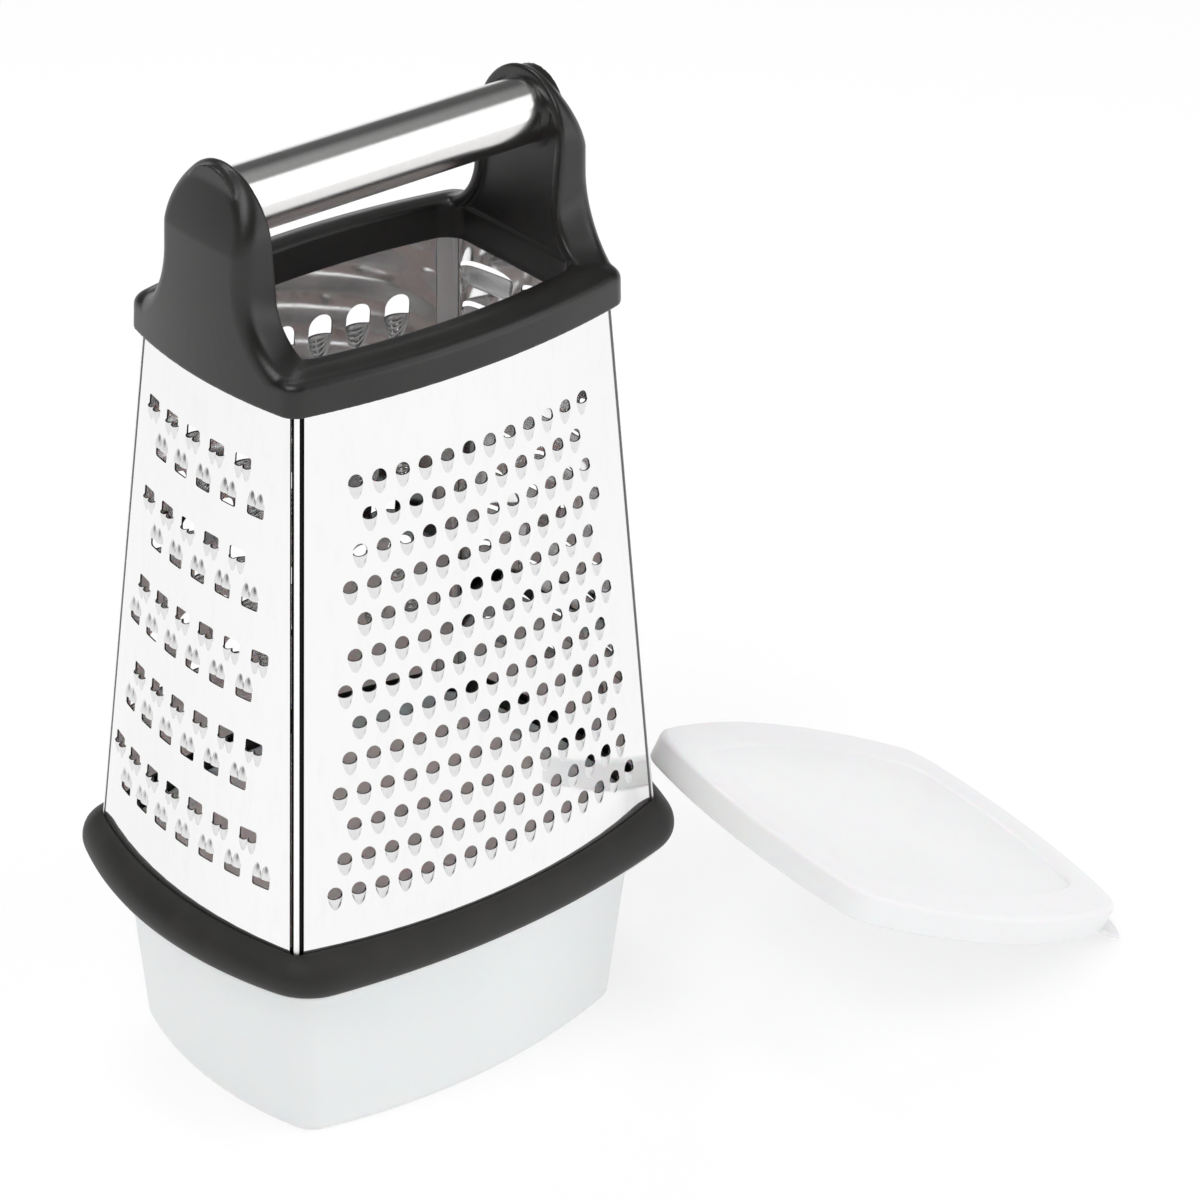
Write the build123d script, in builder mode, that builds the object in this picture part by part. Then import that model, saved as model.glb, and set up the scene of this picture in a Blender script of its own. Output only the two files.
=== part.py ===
from build123d import *

import os
from collections import namedtuple
from math import acos, asin, atan, cos, degrees, sin, sqrt

# Box grater: a four-sided sheet-steel body in a top frame with a tube handle and a soft base ring.
# It stands on a translucent container, and the container's lid leans against the ring.
# Millimetres, +Z up, X along the handle, origin at the middle of the container's underside.

# A plan is a rectangle whose four sides bow outwards as arcs: half sizes at the corners, and the bows
Plan = namedtuple("Plan", "half_x half_y bow_x bow_y")

# Steel body
body_foot = Plan(65.9, 46.8, 8.1, 10.9)
body_head = Plan(53.8, 33.9, 4.3, 6.9)
body_height = 171.7
sheet = 0.5

# Corner strips: bent sheet behind the panels, with a nose that fills the gap between them
seam_setback = 1.1
seam_nose_gap = 0.3
seam_wide_leg = 5.5
seam_narrow_leg = 2.0
seam_sheet = 0.5
seam_gap = 0.1

# Container
container_foot = Plan(57.0, 40.0, 7.4, 8.6)
container_mouth = Plan(61.6, 43.4, 7.6, 9.0)
container_height = 58.4
container_wall = 1.4
container_corner = 9.0
container_foot_bevel = 2.2
flange_inset = 0.9
flange_thickness = 1.6
collar_height = 5.6
collar_wall = 1.4

# Base ring
ring_foot = Plan(68.2, 54.0, 12.2, 8.5)
ring_height = 10.9
ring_belly = 1.0
ring_lip = 0.9
ring_corner = 17.0
ring_lip_corner = 3.0
ring_inner_leg = 1.3
ring_grip_depth = 5.0
ring_grip_gap = 0.1
ring_seat_gap = 0.1
ring_collar_gap = 0.4

# Outer profile of the ring: shares of its height, and of the way out to the belly or in to the lip
ring_foot_shares = ((0.0, 0.0), (0.28, 1.0))
ring_lip_shares = ((0.52, 0.08), (0.8, 0.42), (1.0, 1.0))

# Top frame
frame_foot = Plan(57.4, 36.3, 4.5, 6.9)
frame_lean = 0.03
frame_corner = 6.0
frame_skirt = 7.2
rim_height = 9.4
rim_edge_radius = 2.2
rim_crown = 1.4
rim_crown_reach = 6.0
throat_half_x = 45.9
throat_half_y = 26.4
throat_bow_y = 5.0
throat_corner = 7.0
groove_gap = 0.25
groove_floor_gap = 0.3

# Uprights
upright_half_width = 17.6
upright_inner_flare = 13.0
upright_outer_flare = 30.0
upright_rise = 59.0
upright_lean = 0.075
upright_shoulder_drop = 16.0
upright_shoulder_inset = 6.0
recess_margin = 3.4
recess_depth = 1.6

# Handle
handle_rise = 46.5
tube_radius = 9.5
tube_wall = 0.8
socket_gap = 0.1
socket_depth = 3.6
boss_radius = 12.0
boss_gap = 0.6
plug_length = 8.0
plug_gap = 0.05

# Medium shredding side: staggered rows of small holes, lowest row first
medium_rows = (16, 15, 14, 15, 14, 13, 14, 13, 12, 13, 12, 11, 12)
medium_pitch = 7.1
medium_row_pitch = 10.05
medium_first_row = 20.9
medium_hole_half = 2.3
medium_hole_rise = 2.3
medium_tooth_length = 4.4
medium_tooth_proud = 1.3

# Two-way side: rows of windows with twin teeth, cutting upwards and downwards in turn
# Each row: the place of its first window in steps of the pitch, and how many windows it has
double_up_rows = ((-3, 7), (-2, 6), (-2, 6), (-2, 5), (-2, 5))
double_down_rows = ((-3, 7), (-3, 6), (-3, 6), (-2, 5), (-2, 5))
double_pitch = 10.4
double_row_pitch = 27.3
double_up_first_row = 34.9
double_down_first_row = 24.6
double_up_offset = -3.6
double_down_offset = 1.9
double_window_half = 3.2
double_window_rise = 2.9
double_tooth_half = 1.6
double_tooth_length = 4.3
double_tooth_proud = 1.4

# Coarse shredding side, lowest row first
coarse_rows = (9, 8, 7, 8, 7, 6, 7)
coarse_pitch = 12.7
coarse_row_pitch = 16.8
coarse_first_row = 35.4
coarse_hole_half = 4.0
coarse_hole_rise = 7.2
coarse_hole_spring = 3.8
coarse_tooth_length = 8.4
coarse_tooth_proud = 2.4

# Slicing side: rows of arched slots laid like bricks, with short slots at the ends of every second row
slicer_rows = 10
slicer_row_pitch = 13.6
slicer_first_row = 27.2
slicer_slot_half = 10.0
slicer_slot_step = 23.2
slicer_brick_half = 8.6
slicer_brick_step = 9.6
slicer_end_half = 6.0
slicer_end_step = 27.5
slicer_slot_rise = 3.4
slicer_blade_length = 5.0
slicer_blade_proud = 1.7

# Lid: a plate with a deep skirt; it leans on the ring with its low end on the table
lid_fit_gap = 0.3
lid_corner = 12.0
lid_height = 9.0
lid_wall = 1.3
lid_edge_bevel = 1.4
lid_panel_inset = 14.0
lid_panel_depth = 1.0
lid_tab_reach = 5.5
lid_tab_half = 8.0
lid_tab_thickness = 1.0
lid_yaw = 3.6
lid_pitch = 25.4
lid_roll = 8.0
lid_x = 141.9
lid_y = -69.7

overrun = 1.0
bevel_share = 0.3
blade_root_share = 0.9
rim_edge_shares = ((1.0, 0.0), (0.3, 0.3), (0.0, 1.0))
shoulder_shares = ((0.0, 0.0), (0.5, 0.24), (1.0, 1.0))

# Heights that follow from the sizes above
ring_z = container_height
lip_z = ring_z + ring_height
body_foot_z = lip_z - ring_grip_depth
body_head_z = body_foot_z + body_height
frame_z = body_head_z - frame_skirt
rim_z = frame_z + rim_height
tube_z = frame_z + handle_rise
frame_top_z = frame_z + upright_rise
crown_z = rim_z + rim_crown
steel_depth = sheet + seam_gap + seam_sheet


def arc_of(half, bow):
    """Radius and half angle of the arc over a chord of twice half with the given bow."""
    radius = (half * half + bow * bow) / (2 * bow)
    return radius, asin(half / radius)


def grown(plan, amount):
    """The plan with every side moved outwards by the amount, square to itself."""
    slope_x = 2 * atan(plan.bow_x / plan.half_y)
    slope_y = 2 * atan(plan.bow_y / plan.half_x)
    turn = cos(slope_x) * cos(slope_y) - sin(slope_x) * sin(slope_y)
    step_x = amount * (cos(slope_y) - sin(slope_x)) / turn
    step_y = amount * (cos(slope_x) - sin(slope_y)) / turn
    return Plan(
        plan.half_x + step_x, plan.half_y + step_y, plan.bow_x + amount - step_x, plan.bow_y + amount - step_y
    )


def between(low, high, share):
    """The plan that lies at a share of the way from one plan to another."""
    return Plan(*(a + (b - a) * share for a, b in zip(low, high)))


def bowed(plan, corner=0.0):
    """The face of a plan, with its corners rounded where a radius is given."""
    half_x, half_y, bow_x, bow_y = plan
    with BuildSketch() as face:
        with BuildLine():
            ThreePointArc((-half_x, -half_y), (0, -half_y - bow_y), (half_x, -half_y))
            ThreePointArc((half_x, half_y), (0, half_y + bow_y), (-half_x, half_y))
            if bow_x > 0:
                ThreePointArc((half_x, -half_y), (half_x + bow_x, 0), (half_x, half_y))
                ThreePointArc((-half_x, half_y), (-half_x - bow_x, 0), (-half_x, -half_y))
            else:
                Line((half_x, -half_y), (half_x, half_y))
                Line((-half_x, half_y), (-half_x, -half_y))
        make_face()
        if corner > 0:
            fillet(face.vertices(), corner)
    return face.sketch


def tapered(sections, plane=Plane.XY):
    """A ruled block through (height, plan, corner radius) sections over a plane."""
    with BuildPart() as block:
        for height, plan, corner in sections:
            with BuildSketch(plane.offset(height)):
                add(bowed(plan, corner))
        loft(ruled=True)
    return block.part


def body_plan(z):
    """The outside plan of the steel body at a height."""
    return between(body_foot, body_head, (z - body_foot_z) / body_height)


class Side:
    """One side of the steel body: its half width, reach and bow at both ends, and its turn about Z."""

    def __init__(self, turn):
        self.turn = turn
        ends = []
        for plan in (body_foot, body_head):
            if turn in (0, 180):
                ends.append((plan.half_x, plan.half_y, plan.bow_y))
            else:
                ends.append((plan.half_y, plan.half_x, plan.bow_x))
        self.ends = ends

    def strip(self, end):
        """The bent strip of sheet at one end of the side."""
        half, reach, bow = self.ends[end]
        radius, half_angle = arc_of(half, bow)
        reached = asin((half - seam_setback) / radius)
        with BuildSketch() as face:
            with BuildLine():
                centre = (0, radius - reach - bow)
                start = -90 - degrees(reached)
                outer = CenterArc(centre, radius, start, 2 * degrees(reached))
                inner = CenterArc(centre, radius - sheet, start, 2 * degrees(reached))
                Line(outer @ 0, inner @ 0)
                Line(outer @ 1, inner @ 1)
            make_face()
        return face.sketch

    def blank(self):
        """The plain panel before it is pierced."""
        with BuildPart() as panel:
            for end, z in enumerate((body_foot_z, body_head_z)):
                with BuildSketch(Plane.XY.offset(z).rotated((0, 0, self.turn))):
                    add(self.strip(end))
            loft(ruled=True)
        return panel.part

    def spot(self, across, up):
        """The place on the outer face at a distance across it and a height above the body's foot."""
        share = up / body_height
        half = self.ends[0][0] + (self.ends[1][0] - self.ends[0][0]) * share
        points, tangents = [], []
        for (end_half, reach, bow), z in zip(self.ends, (body_foot_z, body_head_z)):
            radius, half_angle = arc_of(end_half, bow)
            angle = half_angle * across / half
            points.append(Vector(radius * sin(angle), radius - reach - bow - radius * cos(angle), z))
            tangents.append(Vector(cos(angle), sin(angle), 0) * (radius * half_angle / half))
        origin = points[0] + (points[1] - points[0]) * share
        along = tangents[0] + (tangents[1] - tangents[0]) * share
        normal = along.cross(points[1] - points[0])
        local = Plane(origin, x_dir=along, z_dir=normal)
        return Location(Plane.XY.rotated((0, 0, self.turn))) * local.location

    def row(self, first, count, pitch, up, offset=0.0):
        """Places for one row of teeth; first is the place of the first one in steps of the pitch."""
        return [self.spot((first + i) * pitch + offset, up) for i in range(count)]

    def rows(self, counts, pitch, row_pitch, first_row):
        """Places for rows of teeth that are centred on the side."""
        places = []
        for row, count in enumerate(counts):
            places += self.row((1 - count) / 2, count, pitch, first_row + row * row_pitch)
        return places


def pyramid(half, proud, length, across=0.0):
    """A tooth: a raised peak over its cutting edge at y zero, falling away to a point down the slope."""
    root = -sheet / 2
    with BuildPart() as tooth:
        with BuildSketch(Plane.XZ):
            Polygon((across - half, root), (across + half, root), (across, proud), align=None)
        loft(sections=[tooth.pending_faces[0], Vertex(across, -length, root)])
    return tooth.part


def wedge(half, proud, length):
    """A blade: a straight raised edge at y zero that falls away to the sheet down the slope."""
    root = -sheet * blade_root_share
    with BuildPart() as blade:
        with BuildSketch(Plane.YZ.offset(-half)):
            Polygon((0, root), (0, proud), (-length, root), align=None)
        extrude(amount=2 * half)
    return blade.part


def window(points):
    """A tool that cuts an opening of the given outline through the sheet."""
    with BuildPart() as tool:
        with BuildSketch(Plane.XY.offset(-sheet - overrun)):
            Polygon(*points, align=None)
        extrude(amount=sheet + 2 * overrun)
    return tool.part


def narrowing(half, rise, head_half):
    """The outline of an opening with a flat foot that narrows towards its head."""
    return [(-half, 0), (half, 0), (head_half, rise), (-head_half, rise)]


def arched(half, spring, rise):
    """The outline of an opening with a flat foot, upright sides and an arched head."""
    return [(-half, 0), (half, 0), (half, spring), (half / 2, rise), (-half / 2, rise), (-half, spring)]


def pierced(panel, pattern):
    """A panel with openings cut and teeth raised; the pattern lists places, opening and teeth."""
    with BuildPart() as finished:
        add(panel)
        for places, opening, teeth in pattern:
            with Locations(*places):
                add(opening, mode=Mode.SUBTRACT)
            for tooth in teeth:
                with Locations(*places):
                    add(tooth)
    return finished.part


def corner_section(plan):
    """Outline of a corner strip in the quarter where x and y are positive."""

    def wide(inset, depth):
        radius, half_angle = arc_of(plan.half_x, plan.bow_y)
        angle = asin((plan.half_x - inset) / radius)
        centre = plan.half_y + plan.bow_y - radius
        return (radius - depth) * sin(angle), centre + (radius - depth) * cos(angle)

    def narrow(inset, depth):
        radius, half_angle = arc_of(plan.half_y, plan.bow_x)
        angle = asin((plan.half_y - inset) / radius)
        centre = plan.half_x + plan.bow_x - radius
        return centre + (radius - depth) * cos(angle), (radius - depth) * sin(angle)

    nose = seam_setback - seam_nose_gap
    outside = sheet + seam_gap
    inside = outside + seam_sheet
    return [
        wide(seam_wide_leg, outside),
        wide(nose, outside),
        wide(nose, 0),
        (plan.half_x, plan.half_y),
        narrow(nose, 0),
        narrow(nose, outside),
        narrow(seam_narrow_leg, outside),
        narrow(seam_narrow_leg, inside),
        narrow(nose, inside),
        wide(nose, inside),
        wide(seam_wide_leg, inside),
    ]


def corner_strip(sign_x, sign_y):
    """The bent strip that joins two panels at one corner of the body."""
    with BuildPart() as strip:
        for z, plan in ((body_foot_z, body_foot), (body_head_z, body_head)):
            with BuildSketch(Plane.XY.offset(z)):
                Polygon(*[(sign_x * x, sign_y * y) for x, y in corner_section(plan)], align=None)
        loft(ruled=True)
    return strip.part


def groove(low, high, gap):
    """A tool for the groove that takes the edge of the steel body, between two heights."""
    with BuildPart() as tool:
        add(tapered([(z, grown(body_plan(z), gap), 0) for z in (low, high)]))
        add(tapered([(z, grown(body_plan(z), -steel_depth - gap), 0) for z in (low, high)]), mode=Mode.SUBTRACT)
    return tool.part


def upright_section(x, inset, flare):
    """Outline across an upright: flared foot, straight sides and a round top, drawn at one place in X."""
    half = upright_half_width - inset
    reach = flare + inset
    dome_z = frame_top_z - upright_half_width
    foot_z = crown_z if flare < upright_outer_flare else rim_z
    spread = min(half + reach, frame_foot.half_y - frame_corner)
    rise = sqrt(reach * reach - (half + reach - spread) ** 2)
    spring_z = foot_z + rise - inset
    turn = acos((half + reach - spread) / reach)
    bend = (half + reach - reach * cos(turn / 2), spring_z - reach * sin(turn / 2))
    with BuildSketch(Plane.YZ.offset(x)) as face:
        with BuildLine():
            Line((-spread, frame_z), (spread, frame_z))
            Line((spread, frame_z), (spread, spring_z - rise))
            ThreePointArc((spread, spring_z - rise), bend, (half, spring_z))
            Line((half, spring_z), (half, dome_z))
            ThreePointArc((half, dome_z), (0, dome_z + half), (-half, dome_z))
            Line((-half, dome_z), (-half, spring_z))
            ThreePointArc((-half, spring_z), (-bend[0], bend[1]), (-spread, spring_z - rise))
            Line((-spread, spring_z - rise), (-spread, frame_z))
        make_face()
    return face.sketch


os.makedirs("parts", exist_ok=True)

front_side = Side(0)
right_side = Side(90)
back_side = Side(180)
left_side = Side(270)

# Medium shredding panel: a round-topped hole over a pointed, raised tooth
medium_opening = window(narrowing(medium_hole_half, medium_hole_rise, medium_hole_half / 2))
medium_tooth = pyramid(medium_hole_half, medium_tooth_proud, medium_tooth_length)
medium_places = front_side.rows(medium_rows, medium_pitch, medium_row_pitch, medium_first_row)
with BuildPart() as medium_panel:
    add(pierced(front_side.blank(), [(medium_places, medium_opening, [medium_tooth])]))
medium_panel.part.label = "medium_panel"
export_step(medium_panel.part, "parts/medium_panel.step")

# Two-way panel: windows with a pair of teeth along the lower edge, and along the upper edge in between
double_opening = window(narrowing(double_window_half, double_window_rise, double_window_half))
double_teeth = [
    pyramid(double_tooth_half, double_tooth_proud, double_tooth_length, side * double_window_half / 2)
    for side in (-1, 1)
]
double_up_places, double_down_places = [], []
for row, (first, count) in enumerate(double_up_rows):
    up = double_up_first_row + row * double_row_pitch
    double_up_places += left_side.row(first, count, double_pitch, up, double_up_offset)
for row, (first, count) in enumerate(double_down_rows):
    up = double_down_first_row + row * double_row_pitch
    for place in left_side.row(first, count, double_pitch, up, double_down_offset):
        double_down_places.append(place * Location((0, 0, 0), (0, 0, 180)))
with BuildPart() as double_tooth_panel:
    add(
        pierced(
            left_side.blank(),
            [(double_up_places, double_opening, double_teeth), (double_down_places, double_opening, double_teeth)],
        )
    )
double_tooth_panel.part.label = "double_tooth_panel"
export_step(double_tooth_panel.part, "parts/double_tooth_panel.step")

# Coarse shredding panel: tall arched holes over large raised teeth
coarse_opening = window(arched(coarse_hole_half, coarse_hole_spring, coarse_hole_rise))
coarse_tooth = pyramid(coarse_hole_half, coarse_tooth_proud, coarse_tooth_length)
coarse_places = back_side.rows(coarse_rows, coarse_pitch, coarse_row_pitch, coarse_first_row)
with BuildPart() as coarse_panel:
    add(pierced(back_side.blank(), [(coarse_places, coarse_opening, [coarse_tooth])]))
coarse_panel.part.label = "coarse_panel"
export_step(coarse_panel.part, "parts/coarse_panel.step")

# Slicing panel: wide slots over raised straight blades
full_places, brick_places, end_places = [], [], []
for row in range(slicer_rows):
    up = slicer_first_row + row * slicer_row_pitch
    if row % 2 == slicer_rows % 2:
        for side in (-1, 1):
            brick_places.append(right_side.spot(side * slicer_brick_step, up))
            end_places.append(right_side.spot(side * slicer_end_step, up))
    else:
        full_places += right_side.row(-1, 3, slicer_slot_step, up)
slicer_pattern = []
for places, half in (
    (full_places, slicer_slot_half),
    (brick_places, slicer_brick_half),
    (end_places, slicer_end_half),
):
    slot = window(narrowing(half, slicer_slot_rise, half - slicer_slot_rise))
    blade = wedge(half, slicer_blade_proud, slicer_blade_length)
    slicer_pattern.append((places, slot, [blade]))
with BuildPart() as slicer_panel:
    add(pierced(right_side.blank(), slicer_pattern))
slicer_panel.part.label = "slicer_panel"
export_step(slicer_panel.part, "parts/slicer_panel.step")

# Four corner strips behind the meeting edges of the panels
with BuildPart() as corner_strip_front_left:
    add(corner_strip(-1, -1))
corner_strip_front_left.part.label = "corner_strip_front_left"
export_step(corner_strip_front_left.part, "parts/corner_strip_front_left.step")
with BuildPart() as corner_strip_front_right:
    add(corner_strip(1, -1))
corner_strip_front_right.part.label = "corner_strip_front_right"
export_step(corner_strip_front_right.part, "parts/corner_strip_front_right.step")
with BuildPart() as corner_strip_back_left:
    add(corner_strip(-1, 1))
corner_strip_back_left.part.label = "corner_strip_back_left"
export_step(corner_strip_back_left.part, "parts/corner_strip_back_left.step")
with BuildPart() as corner_strip_back_right:
    add(corner_strip(1, 1))
corner_strip_back_right.part.label = "corner_strip_back_right"
export_step(corner_strip_back_right.part, "parts/corner_strip_back_right.step")

# Base ring: a soft band that grips the foot of the body and widens into a rounded belly
ring_inside = steel_depth + ring_grip_gap + ring_inner_leg
ring_belly_plan = grown(ring_foot, ring_belly)
ring_lip_plan = grown(body_plan(lip_z), ring_grip_gap + ring_lip)
ring_sections = []
for height, share in ring_foot_shares:
    ring_sections.append((ring_z + height * ring_height, between(ring_foot, ring_belly_plan, share), ring_corner))
for height, share in ring_lip_shares:
    corner = ring_corner + (ring_lip_corner - ring_corner) * share
    ring_sections.append((ring_z + height * ring_height, between(ring_belly_plan, ring_lip_plan, share), corner))
with BuildPart() as base_ring:
    add(tapered(ring_sections))
    add(
        tapered(
            [
                (z, grown(body_plan(z), -ring_inside), container_corner)
                for z in (ring_z - overrun, lip_z + overrun)
            ]
        ),
        mode=Mode.SUBTRACT,
    )
    add(groove(body_foot_z - ring_seat_gap, lip_z + overrun, ring_grip_gap), mode=Mode.SUBTRACT)
base_ring.part.label = "base_ring"
export_step(base_ring.part, "parts/base_ring.step")

# Container: a tapered box with a flange that carries the ring and a collar that keeps it in place
collar_plan = grown(body_foot, -ring_inside - ring_collar_gap)
flange_z = container_height - flange_thickness
with BuildPart() as container:
    add(
        tapered(
            [
                (0, grown(container_foot, -container_foot_bevel), container_corner),
                (container_foot_bevel, container_foot, container_corner),
                (container_height, container_mouth, container_corner),
            ]
        )
    )
    with BuildSketch(Plane.XY.offset(flange_z)):
        add(bowed(grown(ring_foot, -flange_inset), ring_corner))
    extrude(amount=flange_thickness)
    with BuildSketch(Plane.XY.offset(container_height)):
        add(bowed(collar_plan, container_corner))
    extrude(amount=collar_height)
    add(
        tapered(
            [
                (container_wall, grown(container_foot, -container_foot_bevel), container_corner),
                (container_foot_bevel, grown(container_foot, -container_wall), container_corner),
                (container_height, grown(container_mouth, -container_wall), container_corner),
            ]
        ),
        mode=Mode.SUBTRACT,
    )
    with BuildSketch(Plane.XY.offset(container_height)):
        add(bowed(grown(collar_plan, -collar_wall), container_corner))
    extrude(amount=collar_height + overrun, mode=Mode.SUBTRACT)
container.part.label = "container"
export_step(container.part, "parts/container.step")

# Lid: built flat with its top face at zero, then laid against the ring
lid_inside = grown(collar_plan, lid_fit_gap)
lid_plan = grown(lid_inside, lid_wall)
tab_x = lid_plan.half_x - lid_corner / 2
tab_y = -(lid_plan.half_y - lid_corner / 2)
with BuildPart() as lid_flat:
    add(
        tapered(
            [
                (-lid_height, lid_plan, lid_corner),
                (-lid_edge_bevel, lid_plan, lid_corner),
                (-lid_edge_bevel * bevel_share, grown(lid_plan, -lid_edge_bevel * bevel_share), lid_corner),
                (0, grown(lid_plan, -lid_edge_bevel), lid_corner),
            ]
        )
    )
    with BuildSketch(Plane((tab_x, tab_y, -lid_height), x_dir=(tab_x, tab_y, 0), z_dir=(0, 0, 1))):
        with Locations((lid_tab_reach, 0)):
            RectangleRounded(lid_corner, 2 * lid_tab_half, lid_tab_half / 2)
    extrude(amount=lid_tab_thickness)
    with BuildSketch(Plane.XY.offset(-lid_height - overrun)):
        add(bowed(lid_inside, lid_corner - lid_wall))
    extrude(amount=lid_height + overrun - lid_wall - lid_panel_depth, mode=Mode.SUBTRACT)
    with BuildSketch():
        add(bowed(grown(lid_plan, -lid_panel_inset), lid_corner))
    extrude(amount=-lid_panel_depth, mode=Mode.SUBTRACT)
lid_turn = (
    Location((0, 0, 0), (0, 0, lid_yaw))
    * Location((0, 0, 0), (0, lid_pitch, 0))
    * Location((0, 0, 0), (lid_roll, 0, 0))
)
lid_rest_z = -(lid_turn * lid_flat.part).bounding_box().min.Z
with BuildPart() as lid:
    add(Location((lid_x, lid_y, lid_rest_z)) * lid_turn * lid_flat.part)
lid.part.label = "lid"
export_step(lid.part, "parts/lid.step")

# Top frame: a crowned rim around the throat and two flared uprights that hold the handle


def leaning(first, last, low, high):
    """Tool between two distances from the inner faces of the uprights, which lean outwards."""
    rise_low, rise_high = upright_lean * (low - frame_z), upright_lean * (high - frame_z)
    with BuildPart() as tool:
        with BuildSketch(Plane.XZ):
            Polygon(
                (throat_half_x + first + rise_low, low),
                (throat_half_x + last + rise_low, low),
                (throat_half_x + last + rise_high, high),
                (throat_half_x + first + rise_high, high),
                align=None,
            )
        extrude(amount=frame_foot.half_y, both=True)
    return tool.part


outer_x = frame_foot.half_x + frame_foot.bow_x + overrun
socket_face_x = throat_half_x + upright_lean * (tube_z - frame_z) + recess_depth
tube_reach = socket_face_x + socket_depth
above_z = frame_top_z + overrun
rim_sections = [(frame_z, frame_foot, frame_corner)]
for drop, inset in rim_edge_shares:
    height = rim_z - rim_edge_radius * drop
    lean = frame_lean * (height - frame_z)
    rim_sections.append((height, grown(frame_foot, -lean - rim_edge_radius * inset), frame_corner))
rim_sections.append((crown_z, grown(frame_foot, -rim_edge_radius - rim_crown_reach), frame_corner))
upright_block = tapered(
    [
        (frame_z, frame_foot, frame_corner),
        (frame_top_z + overrun, grown(frame_foot, frame_lean * (frame_z - frame_top_z - overrun)), frame_corner),
    ]
)
shoulder = []
for drop, inset in shoulder_shares:
    height = frame_top_z - upright_shoulder_drop * (1 - drop)
    lean = frame_lean * (height - frame_z)
    shoulder.append((frame_foot.half_x + frame_foot.bow_x - lean - upright_shoulder_inset * inset, height))
with BuildPart() as upright:
    for x, flare in ((throat_half_x, upright_inner_flare), (outer_x, upright_outer_flare)):
        add(upright_section(x, 0, flare))
    loft(ruled=True)
    add(upright_block, mode=Mode.INTERSECT)
    add(leaning(-throat_half_x, 0, frame_z, above_z), mode=Mode.SUBTRACT)
    with BuildSketch(Plane.XZ):
        Polygon(*shoulder, (shoulder[-1][0], above_z), (outer_x, above_z), (outer_x, shoulder[0][1]), align=None)
    extrude(amount=frame_foot.half_y, both=True, mode=Mode.SUBTRACT)
    with BuildPart(mode=Mode.PRIVATE) as recess:
        add(upright_section(0, recess_margin, upright_inner_flare))
        extrude(amount=outer_x)
        add(leaning(-overrun, recess_depth, rim_z, above_z), mode=Mode.INTERSECT)
    add(recess.part, mode=Mode.SUBTRACT)
    with BuildSketch(Plane.YZ.offset(socket_face_x - recess_depth + boss_gap)):
        with Locations((0, tube_z)):
            Circle(boss_radius)
    extrude(amount=recess_depth)
    with BuildSketch(Plane.YZ.offset(throat_half_x)):
        with Locations((0, tube_z)):
            Circle(tube_radius + socket_gap)
    extrude(amount=tube_reach + socket_gap - throat_half_x, mode=Mode.SUBTRACT)
with BuildPart() as top_frame:
    add(upright.part)
    add(upright.part.mirror(Plane.YZ))
    add(tapered(rim_sections))
    with BuildSketch(Plane.XY.offset(frame_z - overrun)):
        add(bowed(Plan(throat_half_x, throat_half_y, 0, throat_bow_y), throat_corner))
    extrude(amount=rim_height + rim_crown + 2 * overrun, mode=Mode.SUBTRACT)
    add(groove(frame_z - overrun, body_head_z + groove_floor_gap, groove_gap), mode=Mode.SUBTRACT)
top_frame.part.label = "top_frame"
export_step(top_frame.part, "parts/top_frame.step")

# Handle tube and the plugs that close its ends inside the uprights
with BuildPart() as handle_tube:
    with BuildSketch(Plane.YZ.offset(-tube_reach)):
        with Locations((0, tube_z)):
            Circle(tube_radius)
            Circle(tube_radius - tube_wall, mode=Mode.SUBTRACT)
    extrude(amount=2 * tube_reach)
handle_tube.part.label = "handle_tube"
export_step(handle_tube.part, "parts/handle_tube.step")
plug_x = tube_reach - plug_length
with BuildPart() as handle_plug_right:
    with BuildSketch(Plane.YZ.offset(plug_x)):
        with Locations((0, tube_z)):
            Circle(tube_radius - tube_wall - plug_gap)
    extrude(amount=plug_length)
handle_plug_right.part.label = "handle_plug_right"
export_step(handle_plug_right.part, "parts/handle_plug_right.step")
with BuildPart() as handle_plug_left:
    add(handle_plug_right.part.mirror(Plane.YZ))
handle_plug_left.part.label = "handle_plug_left"
export_step(handle_plug_left.part, "parts/handle_plug_left.step")
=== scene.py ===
"""Looks of a box grater on its catch container, with the lid leaning beside it.

Sizes are in millimetres in the grater's own frame: +Z up, X along the handle, and the origin at
the middle of the container's underside. Meshes are scaled to metres when they are made.
"""

from __future__ import annotations

import logging
import math
from collections import Counter
from dataclasses import dataclass, replace
from enum import Enum
from typing import Any, Callable, Iterable, Sequence

import bpy
import numpy as np
from mathutils import Matrix, Vector
from mathutils.geometry import delaunay_2d_cdt


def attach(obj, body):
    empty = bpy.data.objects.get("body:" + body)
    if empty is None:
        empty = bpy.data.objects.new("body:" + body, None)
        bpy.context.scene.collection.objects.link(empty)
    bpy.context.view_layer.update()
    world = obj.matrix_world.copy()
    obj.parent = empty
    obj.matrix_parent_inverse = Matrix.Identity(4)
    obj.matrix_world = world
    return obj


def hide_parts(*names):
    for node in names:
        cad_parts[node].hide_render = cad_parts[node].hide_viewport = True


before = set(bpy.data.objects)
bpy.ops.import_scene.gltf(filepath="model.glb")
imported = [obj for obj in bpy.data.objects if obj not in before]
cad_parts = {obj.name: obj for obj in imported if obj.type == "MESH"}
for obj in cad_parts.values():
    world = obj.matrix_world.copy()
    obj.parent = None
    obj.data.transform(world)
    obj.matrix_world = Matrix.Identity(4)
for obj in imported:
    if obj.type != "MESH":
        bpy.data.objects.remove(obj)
log = logging.getLogger("grater")

MM = 0.001
TINY = 1e-9
Colour = tuple[float, float, float, float]


def grey(level: float, warm: float = 0.0) -> Colour:
    """Return a near-neutral colour; warm adds a little red and takes a little blue away."""
    return (level * (1 + warm), level, level * (1 - warm), 1.0)


# ---------------------------------------------------------------------------------------------
# Shader maths
# ---------------------------------------------------------------------------------------------


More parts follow.
